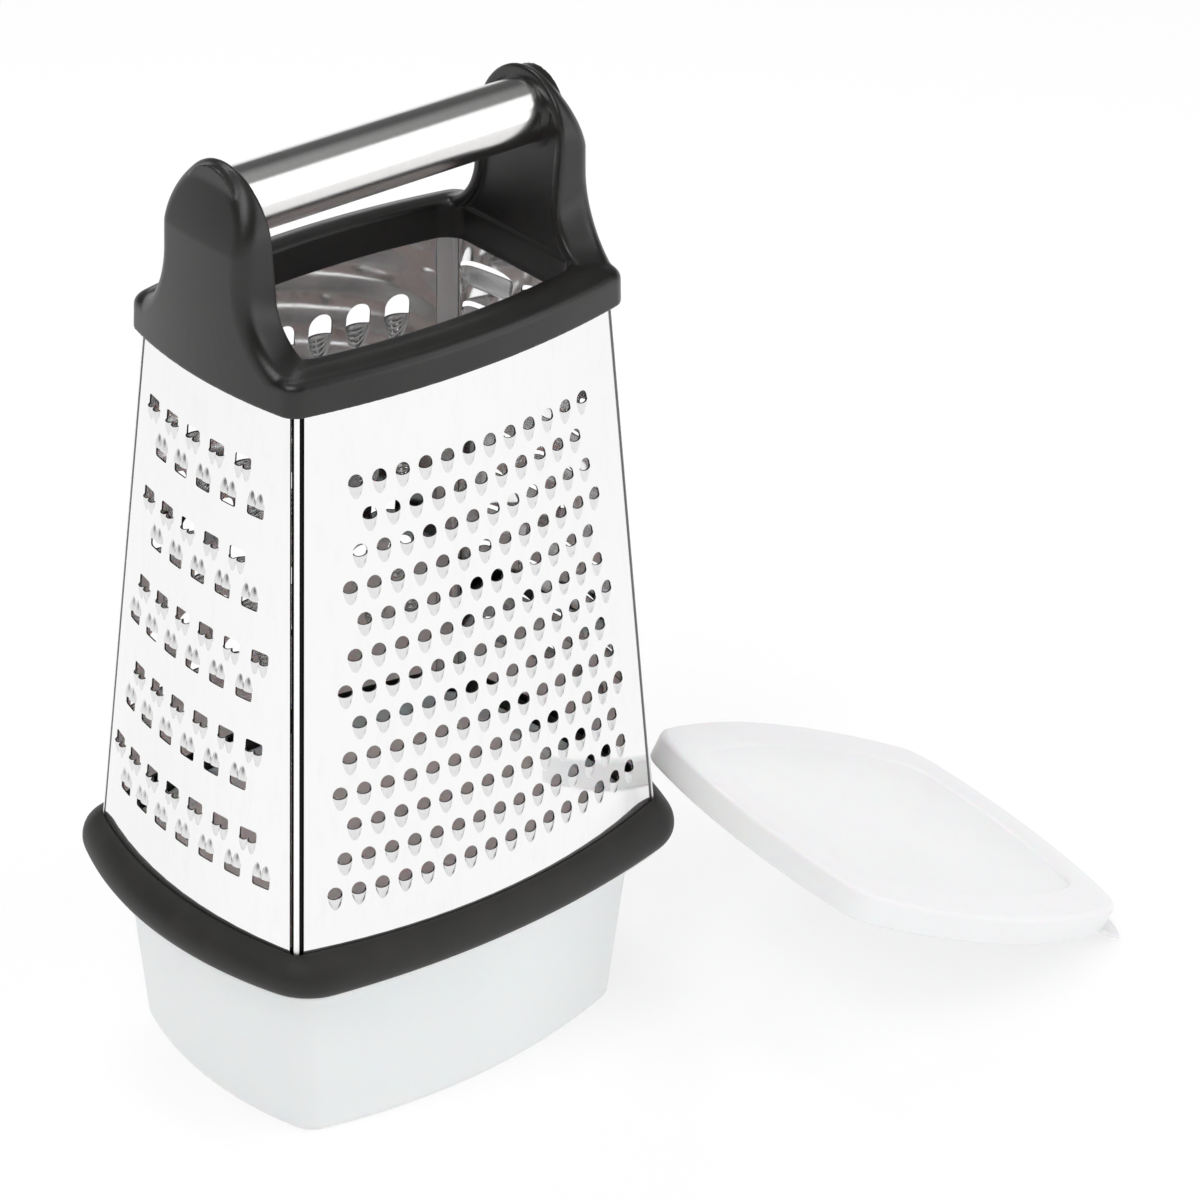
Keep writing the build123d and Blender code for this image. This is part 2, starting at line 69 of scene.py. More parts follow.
def operator(operation: str, swapped: bool = False) -> Callable[..., "Wire"]:
    """Return a method that adds one Math node to a wire.

    Args:
        operation: The node's operation.
        swapped: Whether the wire is the operation's second value.

    Returns:
        The method.
    """

    def method(wire: "Wire", other: Any = 0.0) -> "Wire":
        """Return the node's result for the wire and another value."""
        first, second = (other, wire) if swapped else (wire, other)
        return wire.shader.node("ShaderNodeMath", {"operation": operation}, {0: first, 1: second})

    return method


class Wire:
    """A shader socket on which arithmetic adds Math nodes."""

    __add__, __radd__ = operator("ADD"), operator("ADD", True)
    __sub__, __rsub__ = operator("SUBTRACT"), operator("SUBTRACT", True)
    __mul__, __rmul__ = operator("MULTIPLY"), operator("MULTIPLY", True)
    largest, smallest, size = operator("MAXIMUM"), operator("MINIMUM"), operator("ABSOLUTE")

    def __init__(self, shader: "Shader", socket: bpy.types.NodeSocket) -> None:
        """Wrap an output socket of a shader's node."""
        self.shader = shader
        self.socket = socket

    def ramp(self, low: float, high: float) -> "Wire":
        """Return a smooth step from 0 at low to 1 at high."""
        settings = {"interpolation_type": "SMOOTHSTEP"}
        return self.shader.node("ShaderNodeMapRange", settings, {0: self, 1: low, 2: high, 3: 0.0, 4: 1.0})


class Shader:
    """A node tree that is filled node by node."""

    def __init__(self, tree: bpy.types.NodeTree) -> None:
        """Empty the node tree of a material or of the world and take it over."""
        self.tree = tree
        tree.nodes.clear()

    def node(
        self,
        kind: str,
        settings: dict[str, Any] | None = None,
        inputs: dict[Any, Any] | None = None,
        output: Any = 0,
    ) -> Wire:
        """Add a node.

        Args:
            kind: The node's type.
            settings: Properties that are set first; "stops" sets the stops of a colour ramp.
            inputs: Values or wires for sockets, by name or by number.
            output: The name or number of the output that is returned.

        Returns:
            The chosen output.
        """
        made = self.tree.nodes.new(kind)
        for key, value in (settings or {}).items():
            if key == "stops":
                stops = made.color_ramp.elements
                while len(stops) < len(value):
                    stops.new(0.5)
                for stop, (place, colour) in zip(stops, value):
                    stop.position, stop.color = place, colour
            else:
                setattr(made, key, value)
        for key, value in (inputs or {}).items():
            if isinstance(value, Wire):
                self.tree.links.new(value.socket, made.inputs[key])
            else:
                made.inputs[key].default_value = value
        return Wire(self, made.outputs[output]) if len(made.outputs) else Wire(self, None)

    def spread(self, stretch: Sequence[float] = (1.0, 1.0, 1.0)) -> Wire:
        """Return the place on the piece in metres, stretched along its axes."""
        place = self.node("ShaderNodeTexCoord", output="Object")
        return self.node("ShaderNodeVectorMath", {"operation": "MULTIPLY"}, {0: place, 1: tuple(stretch)})

    def noise(self, place: Wire, scale: float, detail: float = 2.0, roughness: float = 0.5) -> Wire:
        """Return a noise from 0 to 1.

        Args:
            place: The place that it is read at.
            scale: Waves per metre.
            detail: Number of finer layers.
            roughness: Strength of the finer layers.

        Returns:
            The noise's value.
        """
        inputs = {"Vector": place, "Scale": scale, "Detail": detail, "Roughness": roughness}
        return self.node("ShaderNodeTexNoise", {}, inputs)

    def mix(self, share: Any, first: Any, second: Any) -> Wire:
        """Return a colour between two colours."""
        return self.node("ShaderNodeMix", {"data_type": "RGBA"}, {0: share, 6: first, 7: second}, 2)

    def bump(self, height: Wire, depth: float, strength: float = 1.0, under: Wire | None = None) -> Wire:
        """Return a normal bent by a height.

        Args:
            height: The height from 0 to 1.
            depth: The depth in metres that a height of 1 stands for.
            strength: The share of the effect.
            under: Another bent normal to build on.

        Returns:
            The normal.
        """
        inputs: dict[Any, Any] = {"Height": height, "Distance": depth, "Strength": strength}
        if under is not None:
            inputs["Normal"] = under
        return self.node("ShaderNodeBump", {}, inputs)

    def surface(self, inputs: dict[str, Any]) -> None:
        """Add the Principled shader with its values and join it to the output."""
        shader = self.node("ShaderNodeBsdfPrincipled", {}, inputs)
        self.node("ShaderNodeOutputMaterial", {}, {"Surface": shader})


@dataclass(frozen=True)
class Finish:
    """A surface finish that can be put on a piece."""

    name: str

    def dress(self, shader: Shader) -> None:
        """Fill the material's node tree."""
        raise NotImplementedError

    def material(self) -> bpy.types.Material:
        """Return the finish's material, made at its first use."""
        known = bpy.data.materials.get(self.name)
        if known is None:
            known = bpy.data.materials.new(self.name)
            known.use_nodes = True
            self.dress(Shader(known.node_tree))
        return known

    def coat(self, piece: bpy.types.Object) -> None:
        """Put the finish on every material slot of a piece."""
        if not piece.data.materials:
            piece.data.materials.append(self.material())
        for slot in piece.material_slots:
            slot.material = self.material()


@dataclass(frozen=True)
class MattePlastic(Finish):
    """Black moulded plastic with the fine grain of a spark-eroded mould."""

    name: str = "matte black plastic"
    dark: Colour = grey(0.0075, 0.06)
    pale: Colour = grey(0.0125, 0.06)
    grain: float = 2300.0
    depth: float = 0.00008
    roughness: float = 0.33

    def dress(self, shader: Shader) -> None:
        """Fill the tree with grain, faint cloudiness and light handling marks."""
        place = shader.spread()
        grain = shader.noise(place, self.grain, 3.0, 0.6)
        cloud = shader.noise(place, 60.0, 4.0, 0.55)
        marks = shader.noise(shader.spread((1.0, 1.0, 0.25)), 420.0, 3.0, 0.7).ramp(0.62, 0.78)
        base = shader.mix(cloud.ramp(0.3, 0.75) * 0.7 + grain * 0.3, self.dark, self.pale)
        shader.surface(
            {
                "Base Color": base,
                "Roughness": self.roughness + (cloud - 0.5) * 0.16 - marks * 0.05,
                "Specular IOR Level": 0.5,
                "Normal": shader.bump(grain, self.depth, 0.55),
            }
        )


@dataclass(frozen=True)
class SoftRubber(Finish):
    """Black soft-touch rubber with a fine even tooth and a slight bloom."""

    name: str = "soft black rubber"
    dark: Colour = grey(0.0125, 0.07)
    pale: Colour = grey(0.0215, 0.07)

    def dress(self, shader: Shader) -> None:
        """Fill the tree with a fine tooth and a cloudy bloom."""
        place = shader.spread()
        tooth = shader.noise(place, 3400.0, 2.0, 0.6)
        bloom = shader.noise(place, 85.0, 5.0, 0.6)
        base = shader.mix(bloom.ramp(0.35, 0.8) * 0.8 + tooth * 0.2, self.dark, self.pale)
        shader.surface(
            {
                "Base Color": base,
                "Roughness": 0.58 + (bloom - 0.5) * 0.2,
                "Specular IOR Level": 0.42,
                "Sheen Weight": 0.06,
                "Normal": shader.bump(tooth, 0.00003, 0.5),
            }
        )


@dataclass(frozen=True)
class PolishedSheet(Finish):
    """Mirror-rolled steel sheet with hairline wiping marks."""

    name: str = "polished steel sheet"
    bright: Colour = grey(0.91, 0.001)
    dull: Colour = grey(0.83, 0.001)
    smooth: float = 0.035

    def colour(self, shader: Shader, marks: Wire) -> Any:
        """Return the sheet's colour, given its marks from 0 to 1."""
        return shader.mix(marks, self.bright, self.dull)

    def dress(self, shader: Shader) -> None:
        """Fill the tree with the sheet's slow waves, rolling lines and wiping marks."""
        waves = shader.noise(shader.spread(), 38.0, 2.0, 0.4)
        rolled = shader.noise(shader.spread((1.0, 1.0, 0.02)), 2600.0, 2.0, 0.5)
        wiped = shader.noise(shader.spread((1.0, 1.0, 0.3)), 240.0, 5.0, 0.65).ramp(0.45, 0.8)
        shader.surface(
            {
                "Base Color": self.colour(shader, wiped * 0.35 + rolled * 0.12),
                "Metallic": 1.0,
                "Roughness": self.smooth + wiped * 0.05 + rolled * 0.02,
                "Normal": shader.bump(rolled, 0.000003, 0.15, shader.bump(waves, 0.0002, 0.2)),
            }
        )


@dataclass(frozen=True)
class SeamStrip(PolishedSheet):
    """Polished strip behind a corner, with painted shade where it lies in the gap beside each side sheet.

    The gap lies between two depths below the sides, in millimetres. skew and square turn distances
    from the meeting edge into depths, since the sides don't meet at a right angle.
    """

    name: str = "polished corner strip"
    bright: Colour = grey(0.97)
    dull: Colour = grey(0.9)
    smooth: float = 0.3
    # Colour of the painted shade in the gap.
    shade: Colour = grey(0.012)
    deep: tuple[float, float] = (0.34, 0.92)
    soft: float = 0.06
    skew: tuple[float, float] = (0.3, 0.31)
    square: float = 0.957

    def _edge_line(self, shader: Shader, height: Wire, foot: float, head: float) -> Wire:
        """Return how far out the sides' meeting edge is at a height, in millimetres."""
        share = (height - LAYOUT.body_foot_z) * (1 / (LAYOUT.body_head_z - LAYOUT.body_foot_z))
        return share * (head - foot) + foot

    def colour(self, shader: Shader, marks: Wire) -> Any:
        """Return steel on the nose and on the inside, and the gap's shade between its two depths."""
        foot, head = LAYOUT.body_foot, LAYOUT.body_head
        part = shader.node("ShaderNodeSeparateXYZ", {}, {0: shader.spread((1 / MM, 1 / MM, 1 / MM))})
        x, y, z = (Wire(shader, part.socket.node.outputs[i]) for i in range(3))
        across = self._edge_line(shader, z, foot.half_x, head.half_x) - x.size()
        along = self._edge_line(shader, z, foot.half_y, head.half_y) - y.size()
        below_y = along + across * self.skew[0]
        below_x = across + along * self.skew[1]
        depth = below_y.smallest(below_x) * self.square
        start, stop = (depth.ramp(edge - self.soft, edge) for edge in self.deep)
        # Paint shade into the strip's colour between the gap's two depths.
        return shader.mix(start * (1 - stop), super().colour(shader, marks), self.shade)


@dataclass(frozen=True)
class ScoopSteelWithPaintedShade(Finish):
    """Steel of the pressed scoops, dulled and lined by the punch, with a colour darker than the sheet as
    painted shade.
    """

    name: str = "scoop steel with painted shade"

    def dress(self, shader: Shader) -> None:
        """Fill the tree with draw lines that run up the tooth, on a darker colour that paints shade on the
        scoops.
        """
        lines = shader.noise(shader.spread((1.0, 1.0, 0.12)), 2600.0, 3.0, 0.6)
        rubbed = shader.noise(shader.spread(), 420.0, 3.0, 0.6)
        shader.surface(
            {
                # Base colour darker than the sheet's: painted shade on the scoops, with the draw lines in it.
                "Base Color": shader.mix(lines * 0.6 + rubbed * 0.4, grey(0.86), grey(0.66)),
                "Metallic": 1.0,
                "Roughness": 0.14 + lines * 0.12 + rubbed * 0.06,
                "Normal": shader.bump(lines, 0.00001, 0.5),
            }
        )


@dataclass(frozen=True)
class ShearedEdge(Finish):
    """Cut edge of the sheet, rough and dark from the shearing."""

    name: str = "sheared steel edge"

    def dress(self, shader: Shader) -> None:
        """Fill the tree with torn grain across the edge."""
        torn = shader.noise(shader.spread(), 5200.0, 3.0, 0.7)
        shader.surface(
            {
                "Base Color": shader.mix(torn, grey(0.02), grey(0.07)),
                "Metallic": 0.7,
                "Roughness": 0.42 + torn * 0.2,
                "Normal": shader.bump(torn, 0.00001, 0.5),
            }
        )


@dataclass(frozen=True)
class BrushedTube(Finish):
    """Steel tube brushed round its girth."""

    name: str = "brushed steel tube"
    bright: Colour = grey(0.84, 0.01)
    dull: Colour = grey(0.68, 0.01)

    def dress(self, shader: Shader) -> None:
        """Fill the tree with fine brushing lines round the tube and patches of handling."""
        fine = shader.noise(shader.spread((1.0, 0.02, 0.02)), 5200.0, 3.0, 0.7)
        broad = shader.noise(shader.spread((1.0, 0.05, 0.05)), 900.0, 3.0, 0.6)
        hands = shader.noise(shader.spread(), 45.0, 3.0, 0.5)
        shader.surface(
            {
                "Base Color": shader.mix(fine * 0.6 + broad * 0.4, self.bright, self.dull),
                "Metallic": 1.0,
                "Roughness": 0.15 + fine * 0.1 + (hands - 0.5) * 0.06,
                "Normal": shader.bump(fine, 0.00001, 0.4, shader.bump(broad, 0.00001, 0.3)),
            }
        )


@dataclass(frozen=True)
class FrostedPlastic(Finish):
    """Milky translucent plastic, slightly uneven in thickness."""

    name: str = "frosted plastic"
    clear: Colour = (0.945, 0.95, 0.955, 1.0)
    milky: Colour = (0.975, 0.977, 0.98, 1.0)
    passing: float = 0.2

    def dress(self, shader: Shader) -> None:
        """Fill the tree with milky clouds and a faintly satin skin."""
        place = shader.spread()
        cloud = shader.noise(place, 26.0, 3.0, 0.5)
        skin = shader.noise(place, 900.0, 3.0, 0.6)
        shader.surface(
            {
                "Base Color": shader.mix(cloud.ramp(0.3, 0.7), self.clear, self.milky),
                "Roughness": 0.34 + (skin - 0.5) * 0.12,
                "IOR": 1.49,
                "Transmission Weight": self.passing,
                "Subsurface Weight": 0.25,
                "Subsurface Scale": 0.004,
                "Normal": shader.bump(skin, 0.00002, 0.35),
            }
        )


@dataclass(frozen=True)
class PaleFloor(Finish):
    """White seamless paper under the object, which keeps the object's shadow."""

    name: str = "white paper floor"
    glow: float = 0.62

    def dress(self, shader: Shader) -> None:
        """Fill the tree with paper that is partly lit and partly its own white."""
        fibre = shader.noise(shader.spread(), 300.0, 4.0, 0.6)
        paper_white = shader.mix(fibre * 0.4, grey(0.97), grey(0.94))
        lit = shader.node("ShaderNodeBsdfDiffuse", {}, {"Color": paper_white})
        own = shader.node("ShaderNodeEmission", {}, {"Color": grey(1.0), "Strength": 1.0})
        paper = shader.node("ShaderNodeMixShader", {}, {0: self.glow, 1: lit, 2: own})
        shader.node("ShaderNodeOutputMaterial", {}, {"Surface": paper})


# ---------------------------------------------------------------------------------------------
# Outlines and skins
# ---------------------------------------------------------------------------------------------


def arc_radius(half: float, bow: float) -> float:
    """Return the radius of an arc that bows out over a chord of twice half."""
    return (half**2 + bow**2) / (2 * bow)


def arc(start: float, stop: float, steps: int) -> np.ndarray:
    """Return points (n, 2) on a circle of radius 1, from one angle up to another that is left out."""
    angles = np.linspace(start, stop, steps, endpoint=False)
    return np.stack([np.cos(angles), np.sin(angles)], 1)


@dataclass(frozen=True)
class Plan:
    """A rectangle with bowed sides: half sizes at its corners, the bows and the corner radius."""

    half_x: float
    half_y: float
    bow_x: float
    bow_y: float
    corner: float = 0.4

    def grown(self, amount: float) -> "Plan":
        """Return the plan with every side moved outwards, square to itself."""
        slope_x = 2 * math.atan(self.bow_x / self.half_y)
        slope_y = 2 * math.atan(self.bow_y / self.half_x)
        turn = math.cos(slope_x) * math.cos(slope_y) - math.sin(slope_x) * math.sin(slope_y)
        step_x = amount * (math.cos(slope_y) - math.sin(slope_x)) / turn
        step_y = amount * (math.cos(slope_x) - math.sin(slope_y)) / turn
        return replace(
            self,
            half_x=self.half_x + step_x,
            half_y=self.half_y + step_y,
            bow_x=self.bow_x + amount - step_x,
            bow_y=self.bow_y + amount - step_y,
        )

    def rounded(self, corner: float) -> "Plan":
        """Return the plan with another corner radius."""
        return replace(self, corner=corner)

    def towards(self, other: "Plan", share: float) -> "Plan":
        """Return the plan at a share of the way to another one."""
        keys = ("half_x", "half_y", "bow_x", "bow_y", "corner")
        return Plan(*(getattr(self, k) + (getattr(other, k) - getattr(self, k)) * share for k in keys))

    def outline(self, side: int = 22, turn: int = 9) -> np.ndarray:
        """Trace the plan.

        Args:
            side: Steps along half of a side.
            turn: Steps round a corner.

        Returns:
            Points (n, 2), anticlockwise from the middle of the +X side.
        """
        radius_y = arc_radius(self.half_x, self.bow_y)
        centre_y = np.array([0.0, self.half_y + self.bow_y - radius_y])
        if self.bow_x > 0.01:
            radius_x = arc_radius(self.half_y, self.bow_x)
            centre_x = np.array([self.half_x + self.bow_x - radius_x, 0.0])
            near, far = radius_y - self.corner, radius_x - self.corner
            gap = centre_x - centre_y
            span = float(np.hypot(*gap))
            along = (near**2 - far**2 + span**2) / (2 * span)
            high = math.sqrt(max(near**2 - along**2, 0.0))
            axis = gap / span
            middle = centre_y + axis * along + np.array([-axis[1], axis[0]]) * high
            if middle[0] < 0 or middle[1] < 0:
                middle = centre_y + axis * along - np.array([-axis[1], axis[0]]) * high
            first = centre_x + (middle - centre_x) / far * radius_x
            reach = math.atan2(first[1], first[0] - centre_x[0])
            flank = centre_x + radius_x * arc(0, reach, side)
        else:
            x = self.half_x - self.corner
            y = centre_y[1] + math.sqrt((radius_y - self.corner) ** 2 - x * x)
            middle = np.array([x, y])
            first = np.array([self.half_x, y])
            flank = np.stack([np.full(side, self.half_x), np.linspace(0, y, side, endpoint=False)], 1)
        last = centre_y + (middle - centre_y) / (radius_y - self.corner) * radius_y
        start = math.atan2(*(first - middle)[::-1])
        stop = math.atan2(*(last - middle)[::-1])
        bend = middle + self.corner * arc(start, stop, turn)
        start = math.atan2(last[1] - centre_y[1], last[0])
        head = centre_y + radius_y * arc(start, math.pi / 2, side)
        quarter = np.concatenate([flank, bend, head])
        top = np.array([[0.0, self.half_y + self.bow_y]])
        upper = np.concatenate([quarter, top, quarter[1:][::-1] * (-1, 1)])
        end = np.array([[-self.half_x - self.bow_x, 0.0]])
        return np.concatenate([upper, end, upper[1:][::-1] * (1, -1)])


def rounded_step(radius: float, steps: int = 5) -> list[tuple[float, float]]:
    """Return (inset, drop) pairs round a quarter turn, from the side of an edge to its top."""
    angles = [math.pi / 2 * i / steps for i in range(steps + 1)]
    return [(radius * (1 - math.cos(a)), radius * (1 - math.sin(a))) for a in angles]


def linked(name: str, data: Any) -> bpy.types.Object:
    """Return a new object that holds the data, linked to the scene."""
    made = bpy.data.objects.new(name, data)
    bpy.context.scene.collection.objects.link(made)
    return made


class Skin:
    """The points and faces of a piece while it is built."""

    def __init__(self) -> None:
        """Start with nothing."""
        self.points: list[np.ndarray] = []
        self.faces: list[tuple[int, ...]] = []
        self.count = 0

    def ring(self, points: np.ndarray) -> range:
        """Add points (n, 3) and return their numbers."""
        self.points.append(points)
        self.count += len(points)
        return range(self.count - len(points), self.count)

    def level(self, plan: Plan, z: float) -> range:
        """Add a plan's outline at a height."""
        flat = plan.outline()
        return self.ring(np.column_stack([flat, np.full(len(flat), z)]))

    def levels(self, profile: Iterable[tuple[Plan, float]]) -> list[range]:
        """Add a plan's outline at every height of a profile."""
        return [self.level(plan, z) for plan, z in profile]

    def join(self, low: range, high: range) -> None:
        """Join two closed rings of the same size with quads."""
        n = len(low)
        for i in range(n):
            j = (i + 1) % n
            self.faces.append((low[i], low[j], high[j], high[i]))

    def cap(self, ring: range, up: bool) -> None:
        """Close a ring with one face."""
        self.faces.append(tuple(ring) if up else tuple(reversed(ring)))

    def rows(self, rings: Sequence[range]) -> None:
        """Join rings one after another."""
        for low, high in zip(rings, rings[1:]):
            self.join(low, high)

    def chain(self, rings: Sequence[range], closed: bool = False) -> None:
        """Join rings one after another, and end in caps or back at the first ring."""
        self.rows(rings)
        if closed:
            self.join(rings[-1], rings[0])
        else:
            self.cap(rings[0], False)
            self.cap(rings[-1], True)

    def piece(self, name: str, crease: float = 35.0) -> bpy.types.Object:
        """Make the object.

        Args:
            name: The piece's name.
            crease: Angle in degrees above which an edge stays sharp.

        Returns:
            The new object, linked to the scene.
        """
        mesh = bpy.data.meshes.new(name)
        mesh.from_pydata((np.concatenate(self.points) * MM).tolist(), [], self.faces)
        mesh.update()
        mesh.shade_smooth()
        mesh.set_sharp_from_angle(angle=math.radians(crease))
        return linked(name, mesh)


def settled(piece: bpy.types.Object) -> None:
    """Turn a piece's modifiers into its mesh."""
    bpy.context.view_layer.update()
    graph = bpy.context.evaluated_depsgraph_get()
    mesh = bpy.data.meshes.new_from_object(piece.evaluated_get(graph), depsgraph=graph)
    old = piece.data
    piece.modifiers.clear()
    piece.data = mesh
    bpy.data.meshes.remove(old)
    mesh.shade_smooth()


def seated(
    piece: bpy.types.Object, body: str, finish: Finish | None, nodes: Iterable[str]
) -> None:
    """Finish a piece, let it ride on its body and stand for its nodes.

    Args:
        piece: The piece.
        body: The body that it rides on.
        finish: Its finish, or None where its faces have theirs already.
        nodes: The nodes that it replaces.
    """
    if finish is not None:
        finish.coat(piece)
    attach(piece, body)
    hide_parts(*nodes)
    log.info("%s: %d faces, rides on %s", piece.name, len(piece.data.polygons), body)


# ---------------------------------------------------------------------------------------------
# Heights and plans that the pieces share
# ---------------------------------------------------------------------------------------------


@dataclass(frozen=True)
class Layout:
    """Heights and plans that more than one piece needs."""

    ring_z: float = 58.4
    lip_z: float = 69.3
    body_foot_z: float = 64.3
    body_head_z: float = 236.0
    frame_z: float = 228.8
    tube_z: float = 275.3
    sheet: float = 0.5
    steel_depth: float = 1.1
    body_foot: Plan = Plan(65.9, 46.8, 8.1, 10.9)
    body_head: Plan = Plan(53.8, 33.9, 4.3, 6.9)
    ring_foot: Plan = Plan(68.2, 54.0, 12.2, 8.5, 17.0)

    def body_at(self, z: float) -> Plan:
        """Return the steel body's outside plan at a height."""
        share = (z - self.body_foot_z) / (self.body_head_z - self.body_foot_z)
        return self.body_foot.towards(self.body_head, share)


LAYOUT = Layout()


# ---------------------------------------------------------------------------------------------
# Steel body
# ---------------------------------------------------------------------------------------------


@dataclass(frozen=True)
class Tooth:
    """A pierced and pressed tooth: an opening above a cut whose lower lip is pushed outwards.

    Across is measured from the tooth's middle line and up from its cut. The lip has one bulge, or
    two side by side, and falls away down the slope to the flat sheet. The powers and roots shape
    how the bulge rounds off towards its sides (lip), how its foot does (reach), and its slope (fall).
    """

    half: float
    rise: float
    spring: float
    arch: float
    proud: float
    reach: float
    sag: float = 0.0
    bulges: int = 1
    lip_power: float = 2.0
    lip_root: float = 0.6
    reach_power: float = 2.0
    reach_root: float = 0.5
    fall_power: float = 1.7
    fall_root: float = 1.15
    ridges: int = 0
    ridge_depth: float = 0.0
    steps: int = 12
    rows: int = 6
    pad: tuple[float, float, float] = (0.6, 0.6, 0.6)
    fan_share: float = 0.25
    collar: float = 0.25
    least: float = 0.02

    def lip(self) -> tuple[np.ndarray, np.ndarray]:
        """Return the places across the lip from right to left and their share of the bulge."""
        if self.bulges > 1:
            across = np.linspace(self.half, -self.half, self.steps + 1)
        else:
            across = -np.cos(np.linspace(math.pi, 0, self.steps + 1)) * self.half
        width = self.half / self.bulges
        centres = np.array([0.0]) if self.bulges == 1 else np.array([-width, width])
        nearest = np.abs(across[:, None] - centres[None, :]).min(1) / width
        return across, np.clip(nearest, 0, 1)

    def head(self) -> np.ndarray:
        """Return the opening's upper outline from the right end of the cut to its left end."""
        angles = np.linspace(0, math.pi, self.steps + 1)
        power = 2 / self.arch
        x = self.half * np.sign(np.cos(angles)) * np.abs(np.cos(angles)) ** power
        y = self.spring + (self.rise - self.spring) * np.abs(np.sin(angles)) ** power
        points = np.stack([x, y], 1)
        if self.spring > 0:
            points = np.concatenate([[[self.half, 0.0]], points, [[-self.half, 0.0]]])
        return points

    def mesh(self) -> tuple[np.ndarray, list[tuple[int, ...]], np.ndarray, np.ndarray]:
        """Build the tooth within its pad, a flat rectangle.

        Returns:
            Points (across, up, height), faces, whether each point is on the flat sheet, and the
            pad's corners (left, low, right, high).
        """
        points: list[tuple[float, float, float]] = []
        on_sheet: list[bool] = []

        def add(x: float, y: float, z: float, flat: bool) -> int:
            """Add a point and return its number."""
            points.append((x, y, z))
            on_sheet.append(flat)
            return len(points) - 1

        across, share = self.lip()
        height = self.proud * (1 - share**self.lip_power) ** self.lip_root
        length = self.reach * (1 - share**self.reach_power) ** self.reach_root
        cut = -self.sag * (1 - share**2) ** 0.5
        columns = []
        for x, top, reach, low in zip(across, height, length, cut):
            column = []
            for k in range(self.rows + 1):
                t = k / self.rows
                z = top * (1 - t**self.fall_power) ** self.fall_root
                if self.ridges and 0 < k < self.rows:
                    wave = math.sin(math.pi * t) ** 0.5 * math.sin(2 * math.pi * self.ridges * t)
                    z += self.ridge_depth * wave * (top / self.proud)
                column.append(add(x, low + (-max(reach, self.least) - low) * t, z, False))
            columns.append(column)
        faces = [
            (left[k], left[k + 1], right[k + 1], right[k])
            for left, right in zip(columns[1:], columns)
            for k in range(self.rows)
        ]
        upper = [add(x, y, 0.0, True) for x, y in self.head()[1:-1]]
        loop = [columns[0][0], *upper, columns[-1][0], *(column[-1] for column in columns[1:-1][::-1])]
        side, low, high = self.pad
        box = np.array([-self.half - side, -self.reach - low, self.half + side, self.rise + high])
        middle = np.array([0.0, self.rise * self.fan_share])
        inner = np.array([points[i][:2] for i in loop])
        away = inner - middle
        stretch = 1 + self.collar / np.maximum(np.hypot(*away.T), 0.1)
        near = [add(x, y, 0.0, True) for x, y in middle + away * stretch[:, None]]
        outer = [add(x, y, 0.0, True) for x, y in self._frame_points(inner, middle, box)]
        n = len(loop)
        for i in range(n):
            j = (i + 1) % n
            faces.append((loop[i], near[i], near[j], loop[j]))
            faces.append((near[i], outer[i], outer[j], near[j]))
        return np.array(points, float), faces, np.array(on_sheet), box

    @staticmethod
    def _frame_points(inner: np.ndarray, middle: np.ndarray, box: np.ndarray) -> np.ndarray:
        """Throw the loop's points out to the pad's edges, with one on each corner."""
        away = inner - middle
        away = np.where(np.abs(away) < TINY, TINY, away)
        room = np.where(away > 0, box[2:] - middle, box[:2] - middle) / away
        thrown = middle + away * np.min(room, axis=1, keepdims=True)
        for x in (box[0], box[2]):
            for y in (box[1], box[3]):
                nearest = int(np.argmin(np.hypot(*(thrown - (x, y)).T)))
                thrown[nearest] = (x, y)
        return thrown


@dataclass(frozen=True)
class Row:
    """A row of teeth: how high its cut is, where its first tooth is, how many, and which way."""

    up: float
    first: float
    count: int
    pitch: float
    down: bool = False
    tooth: int = 0

    def spots(self) -> list[tuple[float, float]]:
        """Return the teeth's places (across, up)."""
        return [(self.first + i * self.pitch, self.up) for i in range(self.count)]


